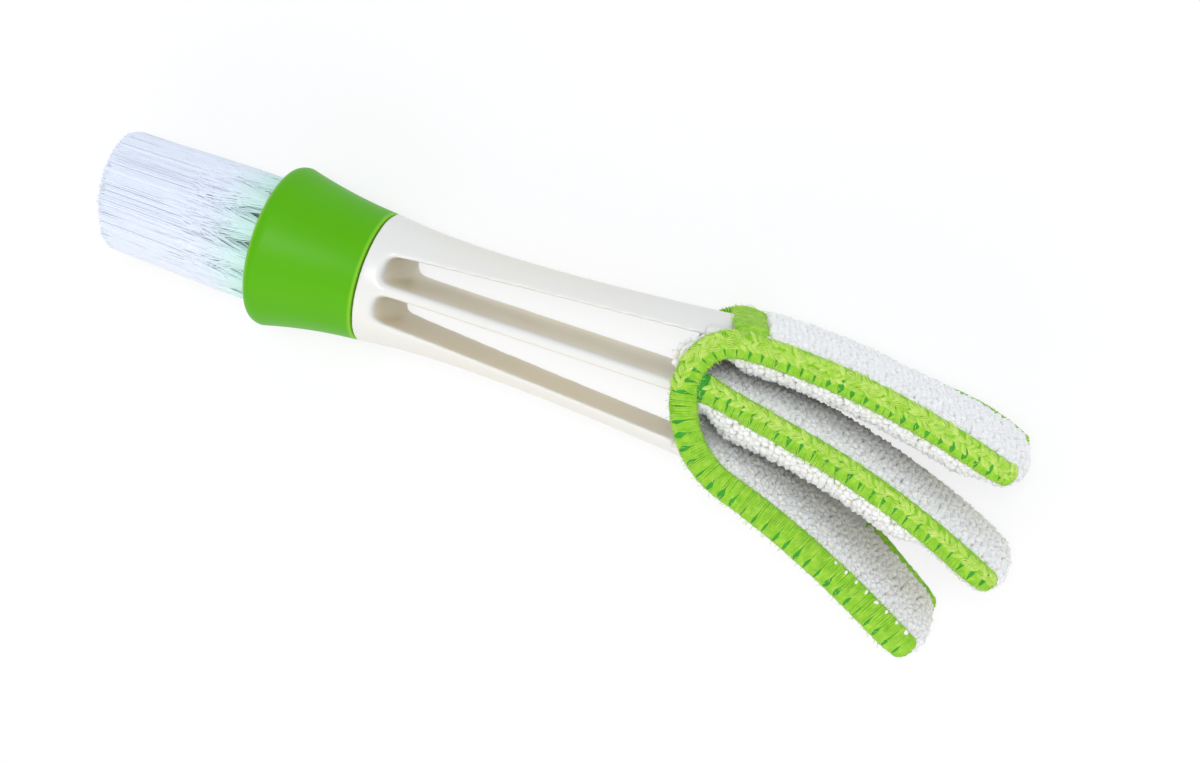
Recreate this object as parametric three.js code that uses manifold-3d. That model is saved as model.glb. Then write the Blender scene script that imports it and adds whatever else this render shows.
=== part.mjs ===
// Double-ended vent cleaning brush: a soft round brush at one end, and three plastic prongs
// at the other that carry a removable microfibre glove.
// Millimetres. X runs along the handle towards the glove, Y across the row of prongs, Z up.
// The brush lies flat on its collar and on the edges of the glove.

import * as THREE from "three";
import { mergeVertices } from "three/addons/utils/BufferGeometryUtils.js";
import Module from "manifold-3d";

// Fits, and how far a cutting shape stands out past what it cuts
const CLEARANCE = 0.3;
const CUT_MARGIN = 1;

// Handle body, measured from the seam between handle and collar.
// Its outline is drawn in to a waist by two pulls, and then spreads to the hem of the glove.
const SEAM_RADIUS = 12.25;
const WAIST_RADIUS = 11.2;
const WAIST_X = 26;
const NECK_PULL = 0.8;
const NECK_PULL_X = 13;
const SPREAD_PULL = 0.4;
const SPREAD_PULL_X = 33.8;
const HANDLE_LENGTH = 66.5;
const HEM_HALF_SPREAD = 14;
const SPIGOT_RADIUS = 9;
const SPIGOT_LENGTH = 9;
const SPIGOT_CHAMFER = 1;

// Slots that part the handle into three prongs
const PRONG_THICKNESS = 2.2;
const SLOT_START = 3.7;
const SLOT_WIDTH_AT_START = 4.9;
const SLOT_WIDTH_AT_HEM = 8.9;
const SLOT_CORNER_RADIUS = 1.5;

// Blades: past the hem each prong goes on as a thin plate that bends down the row.
// A blade reaches along X and drops along Y from its root, and sets out with a rise at its bend.
const BLADE_TIP_THICKNESS = 1.8;
const BLADE_WIDTH = 20;
const BLADE_CORNER_RADIUS = 5;
const BLADE_OVERLAP = 4;
const BLADE_BEND_SHARE = 0.46;
const TOP_REACH = 51.5;
const TOP_DROP = 6.6;
const TOP_RISE = 1.8;
const MIDDLE_REACH = 54;
const MIDDLE_DROP = 13.8;
const MIDDLE_RISE = 0;
const BOTTOM_REACH = 44.3;
const BOTTOM_DROP = 18.2;
const BOTTOM_RISE = -4.6;

// Collar
const COLLAR_LENGTH = 21;
const COLLAR_RIM_RADIUS = 15.3;
const COLLAR_RIM_ROUND = 2.4;
const COLLAR_FLARE_BOW = 0.9;
const COLLAR_MOUTH_RADIUS = 12.5;
const COLLAR_DIVIDER = 2;
const COLLAR_DIVIDER_HOLE_RADIUS = 4;

// Brush
const BLOCK_RECESS = 2;
const BLOCK_SLICE = 1.6;
const TUFT_RING_STEP = 3.4;
const TUFT_RINGS = 3;
const TUFTS_PER_RING_STEP = 4;
const STRANDS_PER_TUFT = 13;
const TUFT_RADIUS = 1.45;
const STRAND_RADIUS = 0.3;
const STRAND_SIDES = 3;
const BRISTLE_REACH = 33;
const BRISTLE_DRAW_IN = 0.02;
const TUFT_SPREAD = 0.06;
const BRISTLE_CROWN = 2.2;
const BRISTLE_SLANT = 1.2;
const BRISTLE_UNEVENNESS = 0.8;

// Glove
const CLOTH_THICKNESS = 1.8;
const CLOTH_WIDTH = 26.4;
const EDGING_DEPTH = 1.8;
const EDGING_WIDTH = 5;
const EDGING_ROUND = 0.7;
const UPPER_WEB_DEPTH = 8.5;
const LOWER_WEB_DEPTH = 4;
const HEM_BAND_LENGTH = 4.6;
const HEM_BAND_HEIGHT = 2.4;
const TOP_HEM_START = 1.6;
const BOTTOM_HEM_START = 7.5;
const RIM_TOP_JOIN = 0.1;
const RIM_TOP_PULL = 13;
const RIM_BOTTOM_JOIN = 0.2;
const RIM_BOTTOM_PULL = 14.6;
const MIDDLE_EDGING_START = 0.03;
const MIDDLE_EDGING_LIFT = 2;
const MIDDLE_EDGING_SETTLES = 0.4;

// Colours and finishes
const WHITE_PLASTIC = { color: 0xf3f1ec, roughness: 0.38, metalness: 0 };
const GREEN_PLASTIC = { color: 0x52b822, roughness: 0.42, metalness: 0 };
const NYLON = { color: 0xe8eefa, roughness: 0.45, metalness: 0 };
const MICROFIBRE = { color: 0xf4f4f8, roughness: 0.95, metalness: 0 };
const GREEN_YARN = { color: 0x8ccb1e, roughness: 0.85, metalness: 0 };

// Facets
const ROUND_SEGMENTS = 48;
const PROFILE_STEPS = 14;
const BLADE_STEPS = 10;
const TURN_STEPS = 6;
const CORNER_STEPS = 4;
const HEM_STEPS = 2;
const EDGING_ROUND_STEPS = 2;
const MERGE_DISTANCE = 1e-4;

const wasm = await Module();
wasm.setup();

// Solids

function toSolid(geometry) {
  const bare = geometry.index ? geometry.toNonIndexed() : geometry.clone();
  bare.deleteAttribute("normal");
  bare.deleteAttribute("uv");
  const merged = mergeVertices(bare, MERGE_DISTANCE);
  return new wasm.Manifold(new wasm.Mesh({
    numProp: 3,
    vertProperties: new Float32Array(merged.attributes.position.array),
    triVerts: new Uint32Array(merged.index.array),
  }));
}

function toGeometry(solid) {
  const mesh = solid.getMesh();
  const geometry = new THREE.BufferGeometry();
  geometry.setAttribute("position", new THREE.BufferAttribute(mesh.vertProperties, 3));
  geometry.setIndex(new THREE.BufferAttribute(mesh.triVerts, 1));
  return geometry;
}

// A profile of [distance along X, radius] points turned about the X axis.
function turned(profile) {
  const points = profile.map(([x, radius]) => new THREE.Vector2(radius, x));
  const lathe = new THREE.LatheGeometry(points, ROUND_SEGMENTS);
  return lathe.rotateZ(-Math.PI / 2);
}

// An outline in X and Y raised along Z between two heights.
function raised(outline, low, high) {
  const shape = outline instanceof THREE.Shape ? outline : new THREE.Shape(outline);
  const settings = { depth: high - low, bevelEnabled: false, curveSegments: CORNER_STEPS };
  return new THREE.ExtrudeGeometry(shape, settings).translate(0, 0, low);
}

// Moves each vertex of a geometry by a rule.
function reshaped(geometry, rule) {
  const position = geometry.attributes.position;
  const point = new THREE.Vector3();
  for (let i = 0; i < position.count; i += 1) {
    point.fromBufferAttribute(position, i);
    rule(point);
    position.setXYZ(i, point.x, point.y, point.z);
  }
  return geometry;
}

function mesh(name, geometry, finish) {
  const piece = new THREE.Mesh(geometry, new THREE.MeshStandardMaterial(finish));
  piece.name = name;
  return piece;
}

// Centre lines of the three blades

const slotOuterAtHem = PRONG_THICKNESS / 2 + SLOT_WIDTH_AT_HEM;
const outerRoot = slotOuterAtHem + PRONG_THICKNESS / 2;

function bladeLine(rootY, reach, drop, rise) {
  const root = new THREE.Vector2(HANDLE_LENGTH, rootY);
  const bend = root.clone().add(new THREE.Vector2(reach * BLADE_BEND_SHARE, rise));
  const tip = root.clone().add(new THREE.Vector2(reach, -drop));
  return new THREE.QuadraticBezierCurve(root, bend, tip);
}

const topLine = bladeLine(outerRoot, TOP_REACH, TOP_DROP, TOP_RISE);
const middleLine = bladeLine(0, MIDDLE_REACH, MIDDLE_DROP, MIDDLE_RISE);
const bottomLine = bladeLine(-outerRoot, BOTTOM_REACH, BOTTOM_DROP, BOTTOM_RISE);
const bladeLines = [topLine, middleLine, bottomLine];

function leftOf(curve, t) {
  const tangent = curve.getTangent(t);
  return new THREE.Vector2(-tangent.y, tangent.x);
}

// The line at a distance to the left of a curve, from one share of its run to another.
function besides(curve, distance, from = 0, to = 1, steps = BLADE_STEPS) {
  const points = [];
  for (let i = 0; i <= steps; i += 1) {
    const t = from + (to - from) * i / steps;
    points.push(curve.getPoint(t).addScaledVector(leftOf(curve, t), distance));
  }
  return points;
}

// The half turn round the end of a curve, from its left side to its right, without its two ends.
function turnRound(curve, t, radius) {
  return halfTurn(curve.getPoint(t), curve.getTangent(t), radius);
}

function halfTurn(centre, forward, radius) {
  const left = new THREE.Vector2(-forward.y, forward.x);
  const points = [];
  for (let i = 1; i < TURN_STEPS; i += 1) {
    const angle = Math.PI * i / TURN_STEPS;
    points.push(centre.clone()
      .addScaledVector(left, radius * Math.cos(angle))
      .addScaledVector(forward, radius * Math.sin(angle)));
  }
  return points;
}

// Handle

const flare = new THREE.CubicBezierCurve(
  new THREE.Vector2(0, SEAM_RADIUS),
  new THREE.Vector2(NECK_PULL_X, WAIST_RADIUS - NECK_PULL),
  new THREE.Vector2(SPREAD_PULL_X, WAIST_RADIUS - SPREAD_PULL),
  new THREE.Vector2(HANDLE_LENGTH, HEM_HALF_SPREAD),
);

function handleBody() {
  const spigot = [
    [-SPIGOT_LENGTH, 0],
    [-SPIGOT_LENGTH, SPIGOT_RADIUS - SPIGOT_CHAMFER],
    [-SPIGOT_LENGTH + SPIGOT_CHAMFER, SPIGOT_RADIUS],
    [0, SPIGOT_RADIUS],
  ];
  const outside = flare.getPoints(PROFILE_STEPS).map((point) => [point.x, point.y]);
  const body = turned([...spigot, ...outside, [HANDLE_LENGTH, 0]]);
  // Past the waist the prongs spread across the row, but keep their height.
  return reshaped(body, (point) => {
    const along = THREE.MathUtils.clamp((point.x - WAIST_X) / (HANDLE_LENGTH - WAIST_X), 0, 1);
    point.z *= THREE.MathUtils.lerp(1, WAIST_RADIUS / HEM_HALF_SPREAD, along);
  });
}

function slotOutline(side) {
  const inner = PRONG_THICKNESS / 2;
  const outer = inner + SLOT_WIDTH_AT_START;
  const past = HANDLE_LENGTH + BLADE_OVERLAP;
  const slope = (SLOT_WIDTH_AT_HEM - SLOT_WIDTH_AT_START) / (HANDLE_LENGTH - SLOT_START);
  const outerPast = outer + slope * (past - SLOT_START);
  const corner = SLOT_START + SLOT_CORNER_RADIUS;
  const shape = new THREE.Shape();
  shape.moveTo(corner, inner);
  shape.lineTo(past, inner);
  shape.lineTo(past, outerPast);
  shape.lineTo(corner, outer + slope * SLOT_CORNER_RADIUS);
  shape.quadraticCurveTo(SLOT_START, outer, SLOT_START, outer - SLOT_CORNER_RADIUS);
  shape.lineTo(SLOT_START, inner + SLOT_CORNER_RADIUS);
  shape.quadraticCurveTo(SLOT_START, inner, corner, inner);
  const points = shape.getPoints(CORNER_STEPS);
  return points.map((point) => new THREE.Vector2(point.x, side * point.y));
}

function blade(curve) {
  const start = curve.getPoint(0);
  const back = curve.getTangent(0).multiplyScalar(-BLADE_OVERLAP);
  const half = (t) => THREE.MathUtils.lerp(PRONG_THICKNESS, BLADE_TIP_THICKNESS, t) / 2;
  const left = [];
  const right = [];
  for (let i = 0; i <= BLADE_STEPS; i += 1) {
    const t = i / BLADE_STEPS;
    left.push(curve.getPoint(t).addScaledVector(leftOf(curve, t), half(t)));
    right.push(curve.getPoint(t).addScaledVector(leftOf(curve, t), -half(t)));
  }
  const root = leftOf(curve, 0).multiplyScalar(half(0));
  const outline = [
    start.clone().add(back).add(root),
    ...left,
    ...turnRound(curve, 1, half(1)),
    ...right.reverse(),
    start.clone().add(back).sub(root),
  ];
  const plate = toSolid(raised(outline, -BLADE_WIDTH / 2, BLADE_WIDTH / 2));
  return plate.intersect(bladeSide(curve.getPoint(1).x + half(1)));
}

// What a blade's rounded end leaves standing, seen from the side of the row.
function bladeSide(end) {
  const half = BLADE_WIDTH / 2;
  const shape = new THREE.Shape();
  shape.moveTo(0, -half - CUT_MARGIN);
  shape.lineTo(end - BLADE_CORNER_RADIUS, -half);
  shape.quadraticCurveTo(end, -half, end, -half + BLADE_CORNER_RADIUS);
  shape.lineTo(end, half - BLADE_CORNER_RADIUS);
  shape.quadraticCurveTo(end, half, end - BLADE_CORNER_RADIUS, half);
  shape.lineTo(0, half + CUT_MARGIN);
  const reach = HANDLE_LENGTH;
  const side = raised(new THREE.Shape(shape.getPoints(CORNER_STEPS)), -reach, reach);
  return toSolid(side.rotateX(Math.PI / 2));
}

function handle() {
  let solid = toSolid(handleBody());
  for (const side of [1, -1]) {
    const outline = slotOutline(side);
    solid = solid.subtract(toSolid(raised(outline, -COLLAR_RIM_RADIUS, COLLAR_RIM_RADIUS)));
  }
  for (const line of bladeLines) {
    solid = solid.add(blade(line));
  }
  return toGeometry(solid);
}

// Collar

const blockBack = -COLLAR_LENGTH + BLOCK_RECESS + BLOCK_SLICE;
const dividerFront = -SPIGOT_LENGTH - CLEARANCE - COLLAR_DIVIDER;

function collar() {
  const rimX = -COLLAR_LENGTH + COLLAR_RIM_ROUND;
  const outside = new THREE.QuadraticBezierCurve(
    new THREE.Vector2(-CLEARANCE, SEAM_RADIUS),
    new THREE.Vector2(rimX / 2, (SEAM_RADIUS + COLLAR_RIM_RADIUS) / 2 - COLLAR_FLARE_BOW),
    new THREE.Vector2(rimX, COLLAR_RIM_RADIUS),
  );
  const rim = new THREE.QuadraticBezierCurve(
    new THREE.Vector2(rimX, COLLAR_RIM_RADIUS),
    new THREE.Vector2(-COLLAR_LENGTH, COLLAR_RIM_RADIUS),
    new THREE.Vector2(-COLLAR_LENGTH, COLLAR_RIM_RADIUS - COLLAR_RIM_ROUND),
  );
  const profile = [
    ...rim.getPoints(CORNER_STEPS).reverse(),
    ...outside.getPoints(PROFILE_STEPS / 2).reverse().slice(1),
  ].map((point) => [point.x, point.y]);
  const bore = SPIGOT_RADIUS + CLEARANCE;
  profile.push([-CLEARANCE, bore]);
  profile.push([-SPIGOT_LENGTH - CLEARANCE, bore]);
  profile.push([-SPIGOT_LENGTH - CLEARANCE, COLLAR_DIVIDER_HOLE_RADIUS]);
  profile.push([dividerFront, COLLAR_DIVIDER_HOLE_RADIUS]);
  profile.push([dividerFront, COLLAR_MOUTH_RADIUS]);
  profile.push([-COLLAR_LENGTH, COLLAR_MOUTH_RADIUS]);
  profile.push(profile[0]);
  return turned(profile);
}

// Brush

function tuftBlock() {
  const radius = COLLAR_MOUTH_RADIUS - CLEARANCE;
  const front = blockBack + CLEARANCE;
  const back = dividerFront - CLEARANCE;
  return turned([[front, 0], [front, radius], [back, radius], [back, 0]]);
}

// Where the strands of one tuft stand on the block, packed as a sunflower packs its seeds.
const GOLDEN_ANGLE = Math.PI * (3 - Math.sqrt(5));

function tuftPlaces(ring) {
  const count = Math.max(1, ring * TUFTS_PER_RING_STEP);
  const places = [];
  for (let i = 0; i < count; i += 1) {
    const angle = 2 * Math.PI * (i + ring / 2) / count;
    const place = new THREE.Vector2(Math.cos(angle), Math.sin(angle));
    places.push(place.multiplyScalar(ring * TUFT_RING_STEP));
  }
  return places;
}

function tuftFeet() {
  const feet = [];
  for (let i = 0; i < STRANDS_PER_TUFT; i += 1) {
    const reach = (TUFT_RADIUS - STRAND_RADIUS) * Math.sqrt((i + 0.5) / STRANDS_PER_TUFT);
    const angle = i * GOLDEN_ANGLE;
    feet.push(new THREE.Vector2(Math.cos(angle), Math.sin(angle)).multiplyScalar(reach));
  }
  return feet;
}

function strand(tuft, foot, number) {
  const sliceBack = blockBack;
  const sliceFront = blockBack - BLOCK_SLICE;
  const rim = TUFT_RINGS * TUFT_RING_STEP + TUFT_RADIUS;
  const crown = BRISTLE_CROWN * (tuft.clone().add(foot).length() / rim) ** 2;
  const uneven = BRISTLE_UNEVENNESS * Math.sin(number * GOLDEN_ANGLE * 2);
  const slant = BRISTLE_SLANT * tuft.x / rim;
  const tip = -COLLAR_LENGTH - BRISTLE_REACH + crown - slant + uneven;
  const root = (sliceBack + sliceFront) / 2;
  const rod = new THREE.CylinderGeometry(
    STRAND_RADIUS, STRAND_RADIUS, root - tip, STRAND_SIDES, 1,
  );
  rod.rotateZ(Math.PI / 2).translate((root + tip) / 2, 0, 0);
  return reshaped(rod, (point) => {
    const along = Math.max(0, sliceFront - point.x) / BRISTLE_REACH;
    const lean = 1 - BRISTLE_DRAW_IN * along;
    const fan = 1 + TUFT_SPREAD * along;
    point.y += tuft.x * lean + foot.x * fan;
    point.z += tuft.y * lean + foot.y * fan;
  });
}

// Rings of tufts with the slice of the block's face that they stand in.
function bristles(firstRing, lastRing) {
  const gap = CLEARANCE / 2;
  const inner = firstRing === 0 ? 0 : (firstRing - 0.5) * TUFT_RING_STEP + gap;
  const outer = lastRing === TUFT_RINGS
    ? COLLAR_MOUTH_RADIUS - CLEARANCE
    : (lastRing + 0.5) * TUFT_RING_STEP - gap;
  const back = blockBack;
  const front = blockBack - BLOCK_SLICE;
  const profile = [[front, inner], [front, outer], [back, outer], [back, inner]];
  if (inner > 0) {
    profile.push([front, inner]);
  }
  const solids = [toSolid(turned(profile))];
  let number = 0;
  for (let ring = firstRing; ring <= lastRing; ring += 1) {
    for (const tuft of tuftPlaces(ring)) {
      for (const foot of tuftFeet()) {
        solids.push(toSolid(strand(tuft, foot, number)));
        number += 1;
      }
    }
  }
  return toGeometry(wasm.Manifold.union(solids));
}

// Glove

const sleeveOffset = PRONG_THICKNESS / 2 + CLEARANCE + CLOTH_THICKNESS / 2;

// The share of a blade's run at a distance from its root.
function shareAt(curve, distance) {
  return curve.getUtoTmapping(distance / curve.getLength());
}

// A strip of even width along a run of points.
function strip(points, width, roundEnds) {
  const left = [];
  const right = [];
  const last = points.length - 1;
  points.forEach((point, i) => {
    const before = points[Math.max(0, i - 1)];
    const after = points[Math.min(last, i + 1)];
    const along = after.clone().sub(before).normalize();
    const side = new THREE.Vector2(-along.y, along.x).multiplyScalar(width / 2);
    left.push(point.clone().add(side));
    right.push(point.clone().sub(side));
  });
  if (!roundEnds) {
    return [...left, ...right.reverse()];
  }
  return [
    ...left,
    ...roundEnd(points[last], points[last - 1], width / 2),
    ...right.reverse(),
    ...roundEnd(points[0], points[1], width / 2),
  ];
}

function roundEnd(end, before, radius) {
  return halfTurn(end, end.clone().sub(before).normalize(), radius);
}

// The web between two fingers turns back towards the next finger.
function web(upper, lower, depth) {
  const start = besides(upper, -sleeveOffset)[0];
  const end = besides(lower, sleeveOffset)[0];
  const curve = new THREE.CubicBezierCurve(
    start,
    start.clone().addScaledVector(upper.getTangent(0), -depth),
    end.clone().addScaledVector(lower.getTangent(0), -depth),
    end,
  );
  return curve.getPoints(TURN_STEPS * 2).slice(1, -1);
}

// Up one side of a blade, round its tip and back down the other side.
function finger(curve, leftFrom, rightTo) {
  return [
    ...besides(curve, sleeveOffset, leftFrom, 1),
    ...turnRound(curve, 1, sleeveOffset),
    ...besides(curve, -sleeveOffset, 1, rightTo),
  ];
}

function gloveCloth() {
  const hem = HEM_BAND_LENGTH + CLEARANCE;
  const topHem = shareAt(topLine, TOP_HEM_START + hem);
  const bottomHem = shareAt(bottomLine, BOTTOM_HEM_START + hem);
  const path = [
    ...finger(topLine, topHem, 0),
    ...web(topLine, middleLine, UPPER_WEB_DEPTH),
    ...finger(middleLine, 0, 0),
    ...web(middleLine, bottomLine, LOWER_WEB_DEPTH),
    ...finger(bottomLine, 0, bottomHem),
  ];
  const outline = strip(path, CLOTH_THICKNESS, false);
  return raised(outline, -CLOTH_WIDTH / 2, CLOTH_WIDTH / 2);
}

// A flat band of yarn along a run of points, rounded at its edges, on one edge of the cloth.
function edging(points, side) {
  const outline = strip(points, EDGING_WIDTH - 2 * EDGING_ROUND, true);
  const band = new THREE.ExtrudeGeometry(new THREE.Shape(outline), {
    depth: EDGING_DEPTH - 2 * EDGING_ROUND,
    bevelThickness: EDGING_ROUND,
    bevelSize: EDGING_ROUND,
    bevelSegments: EDGING_ROUND_STEPS,
  });
  const middle = CLOTH_WIDTH / 2 + CLEARANCE + EDGING_DEPTH / 2;
  band.translate(0, 0, side * middle - EDGING_DEPTH / 2 + EDGING_ROUND);
  return band;
}

// From the tip of the top finger, round the webs in front of the middle prong, to the bottom tip.
function rimPath() {
  const top = besides(topLine, 0, 1, RIM_TOP_JOIN);
  const bottom = besides(bottomLine, 0, RIM_BOTTOM_JOIN, 1);
  const topEnd = top[top.length - 1];
  const bow = new THREE.CubicBezierCurve(
    topEnd,
    topEnd.clone().addScaledVector(topLine.getTangent(RIM_TOP_JOIN), -RIM_TOP_PULL),
    bottom[0].clone().addScaledVector(bottomLine.getTangent(RIM_BOTTOM_JOIN), -RIM_BOTTOM_PULL),
    bottom[0],
  );
  return [...top, ...bow.getPoints(BLADE_STEPS * 2).slice(1, -1), ...bottom];
}

// The middle edging sets out from the upper side of its finger and settles on its centre line.
function middlePath() {
  const points = [];
  for (let i = 0; i <= BLADE_STEPS; i += 1) {
    const t = THREE.MathUtils.lerp(MIDDLE_EDGING_START, 1, i / BLADE_STEPS);
    const lift = MIDDLE_EDGING_LIFT * Math.max(0, 1 - t / MIDDLE_EDGING_SETTLES) ** 2;
    points.push(middleLine.getPoint(t).addScaledVector(leftOf(middleLine, t), lift));
  }
  return points;
}

function hemBand(curve, side, start) {
  const low = PRONG_THICKNESS / 2 + CLEARANCE;
  const from = shareAt(curve, start);
  const to = shareAt(curve, start + HEM_BAND_LENGTH);
  const near = besides(curve, side * low, from, to, HEM_STEPS);
  const far = besides(curve, side * (low + HEM_BAND_HEIGHT), from, to, HEM_STEPS);
  const outline = [...near, ...far.reverse()];
  return raised(outline, -CLOTH_WIDTH / 2, CLOTH_WIDTH / 2);
}

// Assembly

const brush = new THREE.Group();
brush.add(mesh("handle", handle(), WHITE_PLASTIC));
brush.add(mesh("collar", collar(), GREEN_PLASTIC));
brush.add(mesh("tuft_block", tuftBlock(), GREEN_PLASTIC));
brush.add(mesh("core_bristles", bristles(0, 1), NYLON));
brush.add(mesh("inner_bristles", bristles(2, 2), NYLON));
brush.add(mesh("outer_bristles", bristles(3, 3), NYLON));

const glove = new THREE.Group();
glove.add(mesh("glove_cloth", gloveCloth(), MICROFIBRE));
for (const [name, side] of [["near", 1], ["far", -1]]) {
  glove.add(mesh(`${name}_rim_edging`, edging(rimPath(), side), GREEN_YARN));
  glove.add(mesh(`${name}_middle_edging`, edging(middlePath(), side), GREEN_YARN));
}
glove.add(mesh("top_hem_edging", hemBand(topLine, 1, TOP_HEM_START), GREEN_YARN));
glove.add(mesh("bottom_hem_edging", hemBand(bottomLine, -1, BOTTOM_HEM_START), GREEN_YARN));

// The origin is on the table, under the middle of the brush.
const ventBrush = new THREE.Group();
ventBrush.add(brush, glove);
const box = new THREE.Box3().setFromObject(ventBrush);
const middle = box.getCenter(new THREE.Vector3());
const origin = new THREE.Vector3(middle.x, middle.y, box.min.z);
brush.position.sub(origin);
glove.position.sub(origin);

export default ventBrush;
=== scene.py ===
import bisect
import math
import random

import bmesh
import bpy
from bpy.props import FloatProperty, FloatVectorProperty, IntProperty, PointerProperty
from bpy.types import Operator, Panel, PropertyGroup
from mathutils import Matrix, Vector
from mathutils.geometry import interpolate_bezier


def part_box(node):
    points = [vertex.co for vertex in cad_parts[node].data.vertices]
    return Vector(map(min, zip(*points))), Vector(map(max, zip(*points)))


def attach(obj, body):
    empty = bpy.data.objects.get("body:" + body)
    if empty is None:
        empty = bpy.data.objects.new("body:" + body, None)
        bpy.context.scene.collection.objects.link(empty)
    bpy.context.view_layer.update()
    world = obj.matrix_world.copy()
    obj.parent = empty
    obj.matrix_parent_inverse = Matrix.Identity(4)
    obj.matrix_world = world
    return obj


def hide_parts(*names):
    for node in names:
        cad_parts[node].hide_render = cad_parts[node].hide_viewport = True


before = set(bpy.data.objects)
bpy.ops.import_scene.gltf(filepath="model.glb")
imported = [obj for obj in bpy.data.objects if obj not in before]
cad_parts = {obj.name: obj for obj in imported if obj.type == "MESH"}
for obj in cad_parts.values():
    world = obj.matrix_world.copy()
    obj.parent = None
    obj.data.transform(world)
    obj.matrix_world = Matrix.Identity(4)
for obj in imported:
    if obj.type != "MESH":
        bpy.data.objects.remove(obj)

bl_info = {
    "name": "Vent cleaning brush",
    "version": (1, 0, 0),
    "blender": (4, 5, 0),
    "location": "View3D > Sidebar > Vent brush",
    "description": "Dresses a vent brush: moulded handle, nylon tufts and a pull-off glove",
    "category": "Object",
}

MM = 0.001
UP = Vector((0, 0, 1))
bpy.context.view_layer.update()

# Points nearer than this are one, and edges sharper than this stay sharp
MERGE = 0.001 * MM
SHARP_EDGE = math.radians(35)

# Fits and places that follow the frame
CLEARANCE = 0.3 * MM
COLLAR_LOW, COLLAR_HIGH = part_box("collar")
SEAM_X = COLLAR_HIGH.x + CLEARANCE
AXIS = Vector((0, (COLLAR_LOW.y + COLLAR_HIGH.y) / 2, (COLLAR_LOW.z + COLLAR_HIGH.z) / 2))

# Handle, measured from the seam
HANDLE_LENGTH = 66.5 * MM
SEAM_RADIUS = 12.25 * MM
WAIST_RADIUS = 11.2 * MM
HEM_HALF_SPREAD = 14 * MM
PRONG_THICKNESS = 2.2 * MM
SLOT_WIDTH_AT_HEM = 8.9 * MM
OUTER_ROOT = PRONG_THICKNESS + SLOT_WIDTH_AT_HEM
# Where along a finger's reach its bend is pulled
BEND_SHARE = 0.46

# Collar
COLLAR_LENGTH = 21 * MM
COLLAR_RIM_RADIUS = 15.3 * MM
COLLAR_RIM_ROUND = 2.4 * MM
COLLAR_FLARE_BOW = 0.9 * MM
COLLAR_MOUTH_RADIUS = 12.5 * MM
COLLAR_POCKET_DEPTH = 9.7 * MM
SPIGOT_RADIUS = 9 * MM
SPIGOT_LENGTH = 9 * MM
DIVIDER_HOLE_RADIUS = 4 * MM
MOUTH_X = SEAM_X - COLLAR_LENGTH

# Rings of tufts
BLOCK_RECESS = 2 * MM
BLOCK_SLICE = 1.6 * MM
TUFT_RING_STEP = 3.4 * MM
TUFT_RINGS = 3
TUFTS_PER_RING_STEP = 4
# The block's face, measured from the seam
FACE_X = -COLLAR_LENGTH + BLOCK_RECESS

# Glove: the webs between fingers, and the hems across the outer prongs
UPPER_WEB_DEPTH = 8.5 * MM
LOWER_WEB_DEPTH = 4 * MM
TOP_HEM_START = 1.6 * MM
BOTTOM_HEM_START = 7.5 * MM
HEM_LENGTH = 4.6 * MM
HEM_TWIST = 2.7 * MM
HEM_SHIFT = 1.8 * MM
# How far the cloth runs in under a hem
HEM_COVER = 3.8 * MM
# Where the rim leaves the top finger and joins the bottom one, as shares of their runs, and how far
# back its bow is pulled there
RIM_TOP_JOIN = 0.1
RIM_TOP_PULL = 13 * MM
RIM_BOTTOM_JOIN = 0.2
RIM_BOTTOM_PULL = 14.6 * MM
FAR_RIM_TOP_JOIN = -0.06
FAR_RIM_TOP_PULL = 5 * MM
# Where the middle finger's edging starts under the rim, and how much of it has no loops
MIDDLE_EDGING_DIVE = -0.09
MIDDLE_EDGING_BARE = 4.4 * MM
# Shares of a finger's run in which its seam, hang and twist settle, and where and by how much the
# twist eases off again
SEAM_SETTLES = 0.4
HANG_SETTLES = 0.12
TWIST_SETTLES = 0.35
TWIST_EASES_FROM = 0.55
TWIST_EASES_BY = 0.5
# The fingers' tips: how far they are drawn out, and the size of their rounded corners
TIP_STRETCH = 1.3
CORNER_LENGTH = 9 * MM
CORNER_DEPTH = 5 * MM


def linear(code):
    """A colour written as sRGB hex, as the linear values that shaders use."""
    channels = [int(code[i:i + 2], 16) / 255 for i in (1, 3, 5)]
    return tuple(c / 12.92 if c <= 0.04045 else ((c + 0.055) / 1.055) ** 2.4 for c in channels)


def length(name, description, millimetres):
    """A property that holds a length."""
    return FloatProperty(
        name=name, description=description, default=millimetres * MM, unit="LENGTH",
    )


def colour(name, description, code):
    """A property that holds a colour."""
    return FloatVectorProperty(
        name=name, description=description, default=linear(code), subtype="COLOR", min=0, max=1,
    )


# Settings

class HandleSettings(PropertyGroup):
    """The handle's skin and its whites"""

    facet: length("Facet", "Size of a face of the skin before it is thinned out", 0.26)
    fillet_passes: IntProperty(
        name="Fillet passes", description="How often the slots' edges are softened", default=50,
    )
    triangles: IntProperty(
        name="Triangles", description="What the skin is thinned out to", default=180000,
    )
    white: colour("White", "Colour of the handle's plastic", "#E7E7E1")
    # slot_shade_tint is painted shade: a warm, darker colour deep in the slots, where less light
    # reaches
    slot_shade_tint: colour("Slot tint", "Colour deep in the slots, where it has yellowed", "#ECE4CC")


class CollarSettings(PropertyGroup):
    """The collar's edges and greens"""

    edge_round: length("Edge round", "Radius at the collar's moulded edges", 0.35)
    green: colour("Green", "Colour of the collar's plastic", "#58B008")
    # edge_highlight_green is a painted highlight: a paler green along the collar's thin moulded
    # edges
    edge_highlight_green: colour("Edge green", "Colour where light comes through thin edges", "#8CD032")


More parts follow.
